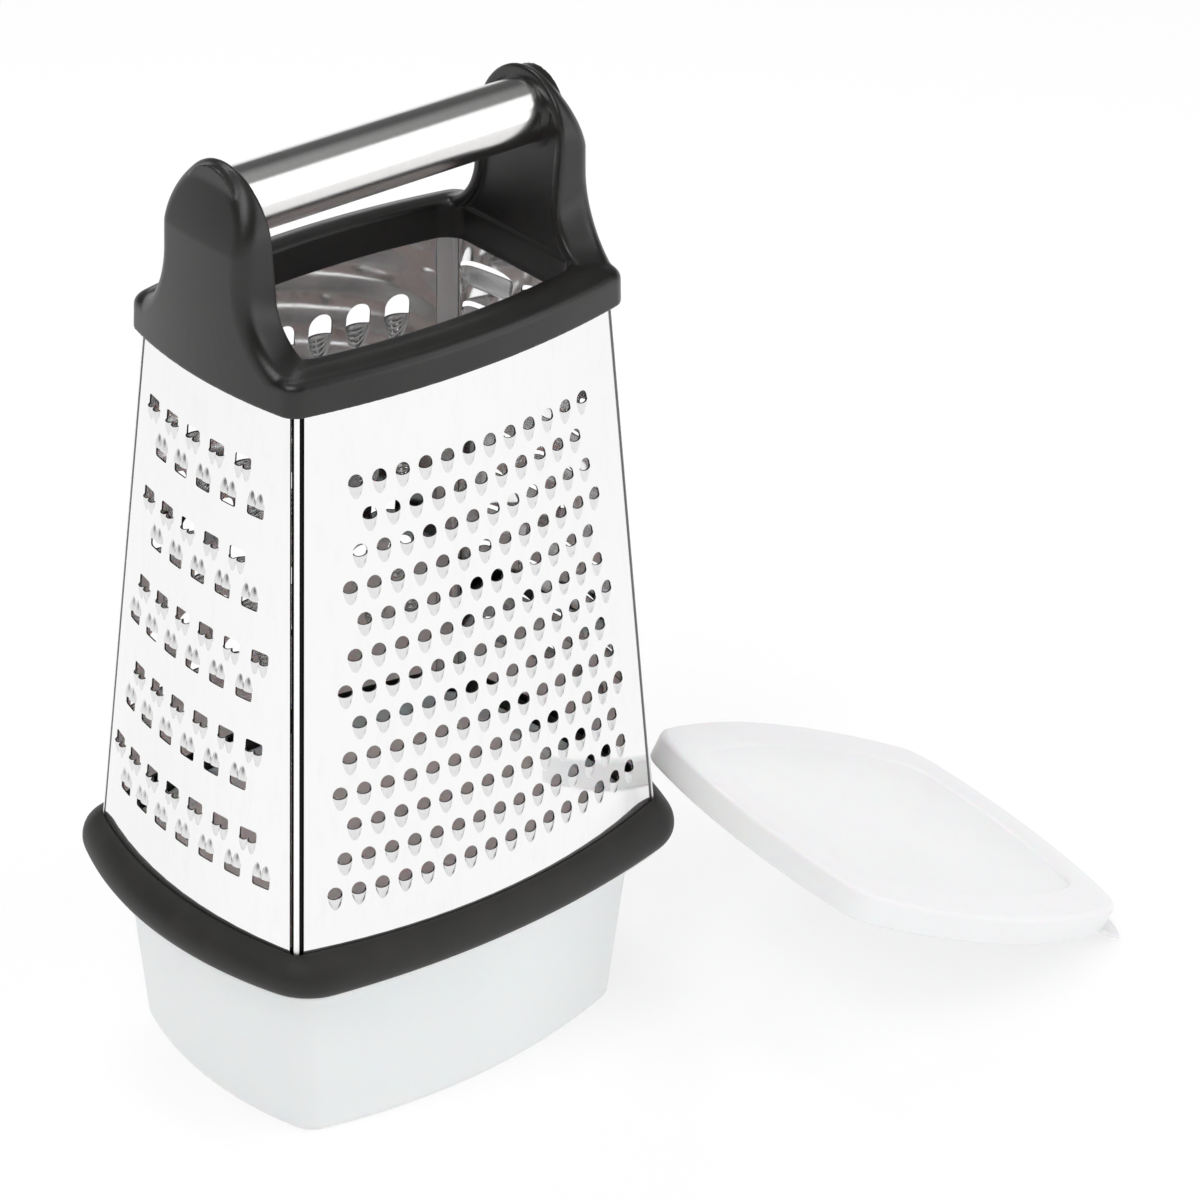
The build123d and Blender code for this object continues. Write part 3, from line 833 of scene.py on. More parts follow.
@dataclass
class PiercedPanel:
    """One bowed side of the steel body with its teeth."""

    name: str
    node: str
    turn: float
    teeth: list[Tooth]
    rows: list[Row]
    setback: float = 2.1
    grid: float = 7.0
    border_steps: int = 24
    clearance: float = 1.0

    def ends(self) -> list[tuple[float, float, float, float]]:
        """Return (half width, reach, bow, height) of the panel's foot and head."""
        rows = []
        for plan, z in ((LAYOUT.body_foot, LAYOUT.body_foot_z), (LAYOUT.body_head, LAYOUT.body_head_z)):
            if self.turn in (0, 180):
                rows.append((plan.half_x, plan.half_y, plan.bow_y, z))
            else:
                rows.append((plan.half_y, plan.half_x, plan.bow_x, z))
        return rows

    def edge(self, end: int) -> float:
        """Return how far across the panel reaches at its foot (0) or head (1)."""
        half, _, bow, _ = self.ends()[end]
        radius = arc_radius(half, bow)
        return half * math.asin((half - self.setback) / radius) / math.asin(half / radius)

    def laid(self, across: np.ndarray, up: np.ndarray) -> tuple[np.ndarray, np.ndarray]:
        """Lay flat places on the outer face.

        Args:
            across: Distances across the side.
            up: Heights above the body's foot.

        Returns:
            Points and outward normals, both (n, 3).
        """
        height = LAYOUT.body_head_z - LAYOUT.body_foot_z
        share = (up / height)[:, None]
        foot, head = self.ends()
        half = foot[0] + (head[0] - foot[0]) * share[:, 0]
        points, tangents = [], []
        for end_half, reach, bow, z in (foot, head):
            radius = arc_radius(end_half, bow)
            angle = math.asin(end_half / radius) * across / half
            out = radius - reach - bow - radius * np.cos(angle)
            points.append(np.stack([radius * np.sin(angle), out, np.full_like(angle, z)], 1))
            tangents.append(np.stack([np.cos(angle), np.sin(angle), np.zeros_like(angle)], 1))
        place = points[0] + (points[1] - points[0]) * share
        along = tangents[0] + (tangents[1] - tangents[0]) * share
        normal = np.cross(along, points[1] - points[0])
        normal /= np.linalg.norm(normal, axis=1, keepdims=True)
        c, s = math.cos(math.radians(self.turn)), math.sin(math.radians(self.turn))
        spin = np.array([[c, s, 0], [-s, c, 0], [0, 0, 1]])
        return place @ spin, normal @ spin

    def web(self, pads: list[np.ndarray], rims: list[np.ndarray]) -> tuple[np.ndarray, list[tuple[int, ...]]]:
        """Fill the sheet between the pads of the teeth.

        Args:
            pads: Boxes (left, low, right, high) of the teeth's pads.
            rims: Points round each pad, in order.

        Returns:
            Points (across, up) and triangles.
        """
        height = LAYOUT.body_head_z - LAYOUT.body_foot_z
        foot, head = self.edge(0), self.edge(1)
        points: list[tuple[float, float]] = []
        edges: list[tuple[int, int]] = []
        for rim in rims:
            start = len(points)
            points += [tuple(p) for p in rim]
            edges += [(start + i, start + (i + 1) % len(rim)) for i in range(len(rim))]
        levels = np.linspace(0, height, self.border_steps + 2)
        start = len(points)
        border = [(x, 0.0) for x in np.linspace(-foot, foot, self.border_steps + 1)]
        border += [(foot + (head - foot) * z / height, z) for z in levels[1:]]
        border += [(x, height) for x in np.linspace(head, -head, self.border_steps + 1)[1:]]
        border += [(-foot - (head - foot) * z / height, z) for z in levels[::-1][1:-1]]
        points += border
        edges += [(start + i, start + (i + 1) % len(border)) for i in range(len(border))]
        left, low, right, high = np.array(pads).T
        room = self.clearance
        for z in np.arange(self.grid, height - 2, self.grid):
            wide = foot + (head - foot) * z / height - self.grid / 2
            for x in np.linspace(-wide, wide, int(2 * wide / self.grid) + 1):
                clear = (left - room > x) | (right + room < x) | (low - room > z) | (high + room < z)
                if clear.all():
                    points.append((float(x), float(z)))
        coords, _, tris, *_ = delaunay_2d_cdt([Vector(p) for p in points], edges, [], 0, 1e-7)
        flat = np.array([tuple(c) for c in coords])
        kept = []
        for tri in tris:
            x, z = flat[list(tri)].mean(0)
            if not ((left < x) & (x < right) & (low < z) & (z < high)).any():
                kept.append(tuple(tri))
        return flat, kept

    def build(self) -> bpy.types.Object:
        """Build the panel as one pressed sheet with two faces and cut edges."""
        meshes = [tooth.mesh() for tooth in self.teeth]
        flat_points, flat_faces, on_sheet, pads, rims = [], [], [], [], []
        count = 0
        for row in self.rows:
            points, faces, sheet, box = meshes[row.tooth]
            sense = -1.0 if row.down else 1.0
            rim_size = self._rim_size(row.tooth)
            for across, up in row.spots():
                moved = points * (sense, sense, 1.0) + (across, up, 0.0)
                flat_points.append(moved)
                flat_faces += [tuple(i + count for i in face) for face in faces]
                on_sheet.append(sheet)
                count += len(points)
                ends = np.array([box[:2] * sense + (across, up), box[2:] * sense + (across, up)])
                pads.append(np.concatenate([ends.min(0), ends.max(0)]))
                rims.append(moved[-rim_size:, :2])
        web_points, web_faces = self.web(pads, rims)
        flat_points.append(np.column_stack([web_points, np.zeros(len(web_points))]))
        flat_faces += [tuple(i + count for i in face) for face in web_faces]
        on_sheet.append(np.ones(len(web_points), bool))
        points = np.concatenate(flat_points)
        sheet = np.concatenate(on_sheet)
        _, first, index = np.unique(np.round(points, 3), axis=0, return_index=True, return_inverse=True)
        points, sheet = points[first], sheet[first]
        index = index.reshape(-1)
        faces = []
        for face in flat_faces:
            merged = [int(index[i]) for i in face]
            trimmed = [v for k, v in enumerate(merged) if v != merged[k - 1]]
            if len(set(trimmed)) >= 3:
                faces.append(tuple(trimmed))
        place, normal = self.laid(points[:, 0], points[:, 1])
        outer = place + normal * points[:, 2:]
        return self._sheet(outer, normal, faces, sheet)

    def _rim_size(self, tooth: int) -> int:
        """Return the number of points on a tooth's pad edge."""
        shape = self.teeth[tooth]
        head = shape.steps + 1 + (2 if shape.spring > 0 else 0)
        return head + shape.steps - 1

    def _sheet(
        self, outer: np.ndarray, normal: np.ndarray, faces: list[tuple[int, ...]], sheet: np.ndarray
    ) -> bpy.types.Object:
        """Give the outer skin its thickness and its smooth normals.

        Args:
            outer: Points of the outer face.
            normal: The plain sheet's normals there.
            faces: Faces of the outer skin.
            sheet: Whether each point is on the flat sheet.

        Returns:
            The panel.
        """
        summed = np.zeros_like(outer)
        turned = []
        for face in faces:
            p = outer[list(face)]
            area = sum(np.cross(p[k] - p[0], p[k + 1] - p[0]) for k in range(1, len(p) - 1))
            if not np.dot(area, normal[face[0]]) > 0:
                face, area = face[::-1], -area
            turned.append(face)
            for v in face:
                summed[v] += area
        length = np.linalg.norm(summed, axis=1, keepdims=True)
        bent = np.where(length > TINY, summed / np.maximum(length, TINY), normal)
        bent = np.where(sheet[:, None], normal, bent)
        points = np.concatenate([outer, outer - bent * LAYOUT.sheet])
        n = len(outer)
        uses = Counter((min(a, b), max(a, b)) for face in faces for a, b in zip(face, face[1:] + face[:1]))
        ways = {(a, b) for face in turned for a, b in zip(face, face[1:] + face[:1])}
        loops = [bent[list(face)] for face in turned] + [-bent[list(face[::-1])] for face in turned]
        turned += [tuple(v + n for v in face[::-1]) for face in turned]
        for (a, b), used in uses.items():
            if used == 1:
                a, b = (a, b) if (a, b) in ways else (b, a)
                cut = (b, a, a + n, b + n)
                turned.append(cut)
                p = points[list(cut)]
                side = np.cross(p[2] - p[0], p[3] - p[1])
                size = np.linalg.norm(side)
                loops.append(np.repeat((side / size if size > TINY else bent[a])[None], 4, 0))
        mesh = bpy.data.meshes.new(self.name)
        mesh.from_pydata((points * MM).tolist(), [], turned)
        mesh.update()
        mesh.shade_smooth()
        mesh.normals_split_custom_set(np.concatenate(loops).tolist())
        for finish in (PolishedSheet(), ShearedEdge(), ScoopSteelWithPaintedShade()):
            mesh.materials.append(finish.material())
        # Scoop faces take the steel with painted shade; faces that touch the flat sheet keep the polished
        # finish.
        scoop_shade_slots = [0 if sheet[list(face)].any() else 2 for face in faces]
        mesh.polygons.foreach_set("material_index", scoop_shade_slots * 2 + [1] * (len(turned) - 2 * len(faces)))
        return linked(self.name, mesh)


@dataclass
class SteelBody:
    """The four pierced sides and the strips at their corners.

    A short blade is given by its half width and steps. Each row in blade_layouts holds the place of
    its first blade, how many there are, their pitch, and which blade they are: 0 is the whole one.
    """

    medium_tooth: Tooth = Tooth(
        2.2, 2.5, 0.0, 2.0, 0.85, 4.7, sag=0.85, lip_power=2.2, reach_root=0.62, steps=14,
        pad=(0.75, 0.5, 0.6),
    )
    medium_counts: tuple[int, ...] = (16, 15, 14, 15, 14, 13, 14, 13, 12, 13, 12, 11, 12)
    medium_rows: tuple[float, float, float] = (20.9, 10.05, 7.1)
    twin_tooth: Tooth = Tooth(
        3.0, 2.9, 0.0, 9.0, 0.95, 4.4, sag=0.35, bulges=2, lip_power=2.6, lip_root=0.7, reach_root=0.62,
        fall_power=2.2, steps=24, rows=7, pad=(0.9, 0.35, 0.3),
    )
    twin_up: tuple[tuple[int, int], ...] = ((-3, 7), (-2, 6), (-2, 6), (-2, 5), (-2, 5))
    twin_down: tuple[tuple[int, int], ...] = ((-3, 7), (-3, 6), (-3, 6), (-2, 5), (-2, 5))
    twin_pitch: float = 10.4
    twin_step: float = 27.3
    twin_starts: tuple[tuple[float, float], ...] = ((-3.6, 34.9), (1.9, 24.6))
    coarse_tooth: Tooth = Tooth(
        4.0, 7.2, 3.2, 2.0, 2.4, 8.2, sag=0.8, lip_power=2.2, lip_root=0.8, reach_root=0.6, fall_power=1.9,
        ridges=5, ridge_depth=0.22, steps=16, rows=30, pad=(0.9, 0.5, 0.3),
    )
    coarse_counts: tuple[int, ...] = (9, 8, 7, 8, 7, 6, 7)
    coarse_rows: tuple[float, float, float] = (35.4, 16.8, 12.7)
    blade: Tooth = Tooth(
        10.0, 3.4, 0.0, 2.6, 1.7, 5.4, lip_power=8.0, lip_root=1.0, reach_power=6.0, reach_root=0.6,
        fall_power=1.3, steps=28, pad=(0.7, 0.6, 0.6),
    )
    short_blades: tuple[tuple[float, int], ...] = ((8.6, 26), (6.0, 20))
    blade_rows: int = 10
    blade_step: float = 13.6
    blade_first: float = 27.2
    blade_layouts: tuple[tuple[tuple[float, int, float, int], ...], ...] = (
        ((-9.6, 2, 19.2, 1), (-27.5, 2, 55.0, 2)), ((-23.2, 3, 23.2, 0),),
    )
    strips: tuple[str, ...] = ("front_left", "front_right", "back_left", "back_right")

    @staticmethod
    def middle_rows(rows: tuple[float, float, float], counts: Sequence[int]) -> list[Row]:
        """Return rows that stand in the middle of a side.

        Args:
            rows: Height of the first row, step up to the next, and step across between teeth.
            counts: Number of teeth in each row.

        Returns:
            The rows.
        """
        first, step, pitch = rows
        return [Row(first + i * step, (1 - n) / 2 * pitch, n, pitch) for i, n in enumerate(counts)]

    def medium(self) -> PiercedPanel:
        """Return the medium shredding side."""
        rows = self.middle_rows(self.medium_rows, self.medium_counts)
        return PiercedPanel("medium_side_sheet", "medium_panel", 0, [self.medium_tooth], rows)

    def two_way(self) -> PiercedPanel:
        """Return the side with twin teeth that cut upwards and downwards in turn."""
        rows = []
        for down, counts in enumerate((self.twin_up, self.twin_down)):
            shift, low = self.twin_starts[down]
            for i, (first, n) in enumerate(counts):
                across = first * self.twin_pitch + shift
                rows.append(Row(low + i * self.twin_step, across, n, self.twin_pitch, down=bool(down)))
        return PiercedPanel("two_way_side_sheet", "double_tooth_panel", 270, [self.twin_tooth], rows)

    def coarse(self) -> PiercedPanel:
        """Return the coarse shredding side."""
        rows = self.middle_rows(self.coarse_rows, self.coarse_counts)
        return PiercedPanel("coarse_side_sheet", "coarse_panel", 180, [self.coarse_tooth], rows)

    def slicing(self) -> PiercedPanel:
        """Return the slicing side, whose rows hold three whole blades, or two with a short one each side."""
        teeth = [self.blade, *(replace(self.blade, half=half, steps=n) for half, n in self.short_blades)]
        rows = [
            Row(self.blade_first + i * self.blade_step, first, count, pitch, tooth=tooth)
            for i in range(self.blade_rows)
            for first, count, pitch, tooth in self.blade_layouts[i % 2]
        ]
        return PiercedPanel("slicing_side_sheet", "slicer_panel", 90, teeth, rows, setback=1.2)

    def build(self) -> None:
        """Build the four sides and dress the strips."""
        for panel in (self.medium(), self.two_way(), self.coarse(), self.slicing()):
            seated(panel.build(), "grater", None, [panel.node])
        # The front left strip gets dark painted shade in its gaps; the far strips get a lighter painted
        # shade.
        near, far = SeamStrip(), SeamStrip(name="polished far corner strip", shade=grey(0.45), smooth=0.4)
        for corner in self.strips:
            (near if corner == "front_left" else far).coat(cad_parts[f"corner_strip_{corner}"])
            log.info("corner_strip_%s: dressed", corner)


# ---------------------------------------------------------------------------------------------
# Top frame and handle
# ---------------------------------------------------------------------------------------------


@dataclass
class TopFrame:
    """One soft-edged black moulding: a crowned rim and two flared uprights.

    The pairs in inner_steps are insets from an upright's outline and depths behind its inner face,
    and those in boss_rings are radii and depths. foot_rises say how far above the moulding's foot an
    upright starts on its inner and on its outer face.
    """

    foot: Plan = Plan(57.4, 36.3, 4.5, 6.9, 6.0)
    lean: float = 0.03
    rim_height: float = 9.4
    rim_radius: float = 2.6
    skirt_drop: float = 0.6
    crown: float = 1.4
    crown_reach: float = 5.0
    throat: Plan = Plan(47.6, 26.4, 0.0, 5.0, 7.0)
    throat_radius: float = 1.6
    inner_x: float = 45.9
    upright_lean: float = 0.075
    half_width: float = 18.3
    inner_flare: float = 13.0
    outer_flare: float = 30.0
    rise: float = 59.0
    spread_limit: float = 31.0
    edge_radius: float = 4.2
    shoulder_z: float = 268.0
    shoulder: float = 6.8
    shoulder_power: float = 1.15
    foot_share: float = 0.35
    foot_rises: tuple[float, float] = (0.3, 2.6)
    inner_steps: tuple[tuple[float, float], ...] = (
        (9.0, 1.6), (4.0, 1.6), (3.5, 1.35), (3.25, 0.3), (2.9, 0.0), (1.0, 0.0), (0.3, 0.25), (0.0, 0.9),
    )
    boss_rings: tuple[tuple[float, float], ...] = ((4.0, 0.9), (11.5, 0.9), (12.0, 1.4), (12.0, 6.0))
    boss_sides: int = 48
    end_flat: float = 29.0
    least_wall: float = 1.2
    least_drop: float = 0.2
    skirt_radius: float = 0.5
    throat_foot_radius: float = 0.8
    voxel: float = 0.45
    face_steps: int = 12
    edge_steps: int = 6
    straight_steps: int = 6
    turn_steps: int = 16

    @property
    def rim_z(self) -> float:
        """Height of the rim's outer edge."""
        return LAYOUT.frame_z + self.rim_height

    def section(self, inset: float, flare: float, low: float, foot_inset: float) -> np.ndarray:
        """Trace an upright's outline seen along the handle.

        Args:
            inset: How far the outline is moved inwards.
            flare: Radius of the flared foot.
            low: Height that it starts at.
            foot_inset: How far its foot is moved inwards.

        Returns:
            Points (y, z) from the foot at +Y over the top to the foot at -Y.
        """
        half = self.half_width - inset
        centre = self.half_width + flare
        reach = flare + inset
        foot_z = self.rim_z + (self.crown if flare < self.outer_flare else 0.0)
        dome_z = LAYOUT.frame_z + self.rise - self.half_width
        limit = min(centre, self.spread_limit)
        spring_z = foot_z + math.sqrt(flare * flare - (centre - limit) ** 2)
        spread = limit - foot_inset
        offset = min(centre - spread, reach)
        turn = math.acos(offset / reach)
        start = spring_z - reach * math.sin(turn)
        straight, turns = self.straight_steps, self.turn_steps
        rows = [(spread, low + (start - low) * i / straight) for i in range(straight)]
        for i in range(turns + 1):
            a = turn * (1 - i / turns)
            rows.append((centre - reach * math.cos(a), spring_z - reach * math.sin(a)))
        for i in range(1, straight):
            rows.append((half, spring_z + (dome_z - spring_z) * i / straight))
        for i in range(turns + 1):
            a = math.pi / 2 * i / turns
            rows.append((half * math.cos(a), dome_z + half * math.sin(a)))
        right = np.array(rows)
        return np.concatenate([right, right[:-1][::-1] * (-1, 1)])

    def outer_face(self, y: np.ndarray, z: np.ndarray) -> np.ndarray:
        """Return how far out the moulding's end face is."""
        plan = self.foot
        radius = arc_radius(plan.half_y, plan.bow_x)
        x = plan.half_x + plan.bow_x - radius + np.sqrt(radius**2 - y**2)
        past = np.clip(np.abs(y) - self.end_flat, 0, plan.corner - 0.1)
        x -= plan.corner - np.sqrt(plan.corner**2 - past**2)
        above = np.clip((z - self.shoulder_z) / (LAYOUT.frame_z + self.rise - self.shoulder_z), 0, 1)
        return x - self.lean * (z - LAYOUT.frame_z) - self.shoulder * above**self.shoulder_power

    def rounded_face(self, y: np.ndarray, z: np.ndarray, drop: float) -> np.ndarray:
        """Return the end face, a way down its rounded edge, which is shallower where the upright is thin."""
        x = self.outer_face(y, z)
        room = x - self.inner_x - self.upright_lean * (z - LAYOUT.frame_z) - self.least_wall
        return x - drop * np.clip(room / self.edge_radius, self.least_drop, 1.0)

    def upright(self, skin: Skin, side: int) -> None:
        """Add one upright to a skin; side is 1 for +X and -1 for -X."""
        outer_x = self.foot.half_x + self.foot.bow_x + 1.0

        def ring(inset: float, inner: float | None, outer: float | None) -> range:
            """Add the outline at a depth from the inner face, or from the outer one."""
            low = LAYOUT.frame_z + self.foot_rises[outer is not None]
            foot = inset if outer is None else inset * self.foot_share
            narrow = self.section(inset, self.inner_flare, low, foot)
            wide = self.section(inset, self.outer_flare, low, foot)
            line = narrow
            for _ in range(3):
                y, z = line[:, 0], line[:, 1]
                face = self.inner_x + self.upright_lean * (z - LAYOUT.frame_z)
                x = face + inner if inner is not None else self.rounded_face(y, z, outer)
                share = np.clip((x - self.inner_x) / (outer_x - self.inner_x), 0, 1)[:, None]
                line = narrow + (wide - narrow) * share
            return skin.ring(np.column_stack([x * side, line]))

        rings = [ring(inset, depth, None) for inset, depth in self.inner_steps]
        rings.append(ring(0.0, None, self.edge_radius))
        for inset, drop in rounded_step(self.edge_radius, self.edge_steps)[1:]:
            rings.append(ring(inset, None, drop))
        skin.rows(rings if side > 0 else rings[::-1])
        skin.cap(rings[0], side < 0)
        self.fill_face(skin, rings[-1], side)

    def fill_face(self, skin: Skin, ring: range, side: int) -> None:
        """Close an upright's outer face with rows of points that follow its bow.

        Args:
            skin: The skin that holds the upright.
            ring: The face's edge, from the foot at +Y over the top to the foot at -Y.
            side: 1 for +X and -1 for -X.
        """
        edge = np.concatenate(skin.points)[list(ring)]
        top = len(ring) // 2
        rows = []
        for i in range(top):
            y = np.linspace(edge[i, 1], edge[-1 - i, 1], self.face_steps + 1)[1:-1]
            z = np.full(len(y), edge[i, 2])
            between = skin.ring(np.column_stack([self.rounded_face(y, z, 0.0) * side, y, z]))
            rows.append([ring[i], *between, ring[-1 - i]])
        rows.append([ring[top]] * (self.face_steps + 1))
        for low, high in zip(rows, rows[1:]):
            for k in range(self.face_steps):
                face = tuple(dict.fromkeys((low[k], high[k], high[k + 1], low[k + 1])))
                skin.faces.append(face if side > 0 else face[::-1])

    def boss(self, skin: Skin, side: int) -> None:
        """Add the low collar round a tube end to a skin."""
        face = self.inner_x + self.upright_lean * (LAYOUT.tube_z - LAYOUT.frame_z)
        circle = arc(0, math.tau, self.boss_sides)
        rings = []
        for radius, x in self.boss_rings:
            across = np.full(self.boss_sides, (face + x) * side)
            rings.append(skin.ring(np.column_stack([across, circle * radius + (0.0, LAYOUT.tube_z)])))
        skin.chain(rings if side > 0 else rings[::-1])

    def rim(self, skin: Skin) -> None:
        """Add the rim round the throat to a skin."""
        low = LAYOUT.frame_z - self.skirt_drop
        top = self.rim_z + self.crown
        base = self.rim_radius + self.lean * self.rim_height
        hem = rounded_step(self.skirt_radius, 3)[::-1]
        profile = [(self.foot.grown(-inset), low + drop) for inset, drop in hem]
        for inset, drop in rounded_step(self.rim_radius, self.edge_steps):
            z = self.rim_z - drop
            profile.append((self.foot.grown(-inset - self.lean * (z - low)), z))
        for share in (0.2, 0.4, 0.6, 0.8, 1.0):
            z = self.rim_z + self.crown * math.sin(share * math.pi / 2)
            profile.append((self.foot.grown(-base - self.crown_reach * share), z))
        round_edge = rounded_step(self.throat_radius, 5)[::-1]
        profile += [(self.throat.grown(inset), top - drop) for inset, drop in round_edge]
        round_foot = rounded_step(self.throat_foot_radius, 3)
        profile += [(self.throat.grown(inset), low + drop) for inset, drop in round_foot]
        skin.chain(skin.levels(profile), closed=True)

    def build(self) -> None:
        """Build the moulding, melt its parts together and smooth it."""
        skin = Skin()
        self.rim(skin)
        for side in (-1, 1):
            self.upright(skin, side)
            self.boss(skin, side)
        piece = skin.piece("moulded_frame")
        melt = piece.modifiers.new("melt", "REMESH")
        melt.mode = "VOXEL"
        melt.voxel_size = self.voxel * MM
        calm = piece.modifiers.new("calm", "SMOOTH")
        calm.factor = 0.5
        calm.iterations = 4
        settled(piece)
        seated(piece, "grater", MattePlastic(), ["top_frame"])
        for node in ("handle_plug_left", "handle_plug_right"):
            MattePlastic(name="matte plug plastic").coat(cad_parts[node])


@dataclass
class HandleTube:
    """A straight brushed tube between the uprights."""

    radius: float = 9.5
    wall: float = 0.8
    reach: float = 54.59
    sides: int = 128
    soft: float = 0.2

    def build(self) -> None:
        """Build the tube with softened cut ends."""
        skin = Skin()
        circle = arc(0, math.tau, self.sides)
        inner, soft = self.radius - self.wall, self.soft
        profile = [(self.radius, x) for x in np.linspace(-self.reach + soft, self.reach - soft, 24)]
        profile += [(self.radius - soft, self.reach), (inner + soft, self.reach), (inner, self.reach - soft)]
        profile += [(r, -x) for r, x in profile[:-4:-1]]
        rings = [
            skin.ring(np.column_stack([np.full(self.sides, x), circle * radius + (0.0, LAYOUT.tube_z)]))
            for radius, x in profile
        ]
        skin.chain(rings, closed=True)
        seated(skin.piece("brushed_handle"), "grater", BrushedTube(), ["handle_tube"])


# ---------------------------------------------------------------------------------------------
# Ring, container and lid
# ---------------------------------------------------------------------------------------------


@dataclass
class BaseRing:
    """A soft band with a rounded belly that grips the foot of the steel body.

    The first numbers in foot and bands are shares of the height; the second ones say how far the
    belly is inset there (foot), or which share of the way to the lip it has gone (bands).
    """

    belly: float = 1.0
    height: float = 10.9
    lip: float = 0.9
    lip_corner: float = 3.0
    inner_leg: float = 1.3
    leg_corner: float = 9.0
    play: float = 0.1
    foot: tuple[tuple[float, float], ...] = (
        (0.0, 1.5), (0.01, 1.15), (0.035, 0.85), (0.08, 0.55), (0.14, 0.27), (0.2, 0.1), (0.27, 0.0),
    )
    bands: tuple[tuple[float, float], ...] = (
        (0.4, 0.012), (0.52, 0.07), (0.62, 0.155), (0.71, 0.27), (0.79, 0.4), (0.86, 0.535), (0.915, 0.665),
        (0.955, 0.79), (0.985, 0.91), (1.0, 0.985),
    )

    def build(self) -> None:
        """Build the ring as one closed profile, whose small numbers soften its inner edges."""
        skin = Skin()
        low, top = LAYOUT.ring_z, LAYOUT.lip_z
        wide = LAYOUT.ring_foot.grown(self.belly)
        narrow = LAYOUT.body_at(top).grown(self.play + self.lip).rounded(self.lip_corner)
        seat, depth = LAYOUT.body_foot_z, LAYOUT.steel_depth
        inside = depth + self.play + self.inner_leg
        at_top, at_seat = LAYOUT.body_at(top), LAYOUT.body_at(seat)
        profile = [(wide.grown(-inset), low + share * self.height) for share, inset in self.foot]
        profile += [(wide.towards(narrow, inward), low + share * self.height) for share, inward in self.bands]
        profile += [
            (at_top.grown(0.35).rounded(1.2), top),
            (at_top.grown(self.play), top - 0.25),
            (at_seat.grown(self.play), seat - 0.1),
            (at_seat.grown(-depth - self.play), seat - 0.1),
            (at_top.grown(-depth - self.play), top - 0.4),
            (at_top.grown(-depth - 0.5), top),
            (at_top.grown(-inside + 0.3).rounded(self.leg_corner), top),
            (at_top.grown(-inside).rounded(self.leg_corner), top - 0.4),
            (LAYOUT.body_at(low).grown(-inside).rounded(self.leg_corner), low),
        ]
        skin.chain(skin.levels(profile), closed=True)
        seated(skin.piece("soft_base_ring", 40), "grater", SoftRubber(), ["base_ring"])


@dataclass
class Container:
    """A tapered milky box with a flange under the ring and a collar inside it."""

    foot: Plan = Plan(57.0, 40.0, 7.4, 8.6, 9.0)
    mouth: Plan = Plan(61.6, 43.4, 7.6, 9.0, 9.0)
    height: float = 58.4
    wall: float = 1.4
    foot_radius: float = 2.2
    flange_inset: float = 0.9
    flange: float = 1.6
    collar_height: float = 5.6
    collar_wall: float = 1.4
    collar_inset: float = 2.9
    collar_corner: float = 9.0

    def build(self) -> None:
        """Build the container from its underside up, over the collar and down the inside.

        The small numbers in its profile soften the edges of the neck, the flange and the rim.
        """
        skin = Skin()
        neck, rim = self.height - self.flange, self.height
        top = rim + self.collar_height
        heel, step = rounded_step(self.foot_radius, 6), rounded_step(0.5, 3)
        near = self.foot.towards(self.mouth, (neck - self.foot_radius) / (rim - self.foot_radius))
        flange = LAYOUT.ring_foot.grown(-self.flange_inset)
        collar = LAYOUT.body_foot.grown(-self.collar_inset).rounded(self.collar_corner)
        profile = [(self.foot.grown(-inset), drop) for inset, drop in heel[::-1]]
        profile += [(near, neck - 0.9), (near.grown(0.25), neck - 0.25), (near.grown(0.9), neck)]
        profile += [(flange.grown(-0.5), neck), (flange.grown(-0.1), neck + 0.2), (flange, neck + 0.5)]
        profile += [(flange, rim - 0.3), (flange.grown(-0.3), rim), (collar, rim)]
        profile += [(collar.grown(-inset), top - drop) for inset, drop in step]
        profile += [(collar.grown(inset - self.collar_wall), top - drop) for inset, drop in step[::-1]]
        profile += [(collar.grown(-self.collar_wall), rim), (self.mouth.grown(-self.wall), rim - 0.6)]
        profile += [(self.foot.grown(-self.wall - inset), self.wall + drop) for inset, drop in heel]
        skin.chain(skin.levels(profile))
        piece = skin.piece("milky_container", 50)
        seated(piece, "container", FrostedPlastic(), ["container"])


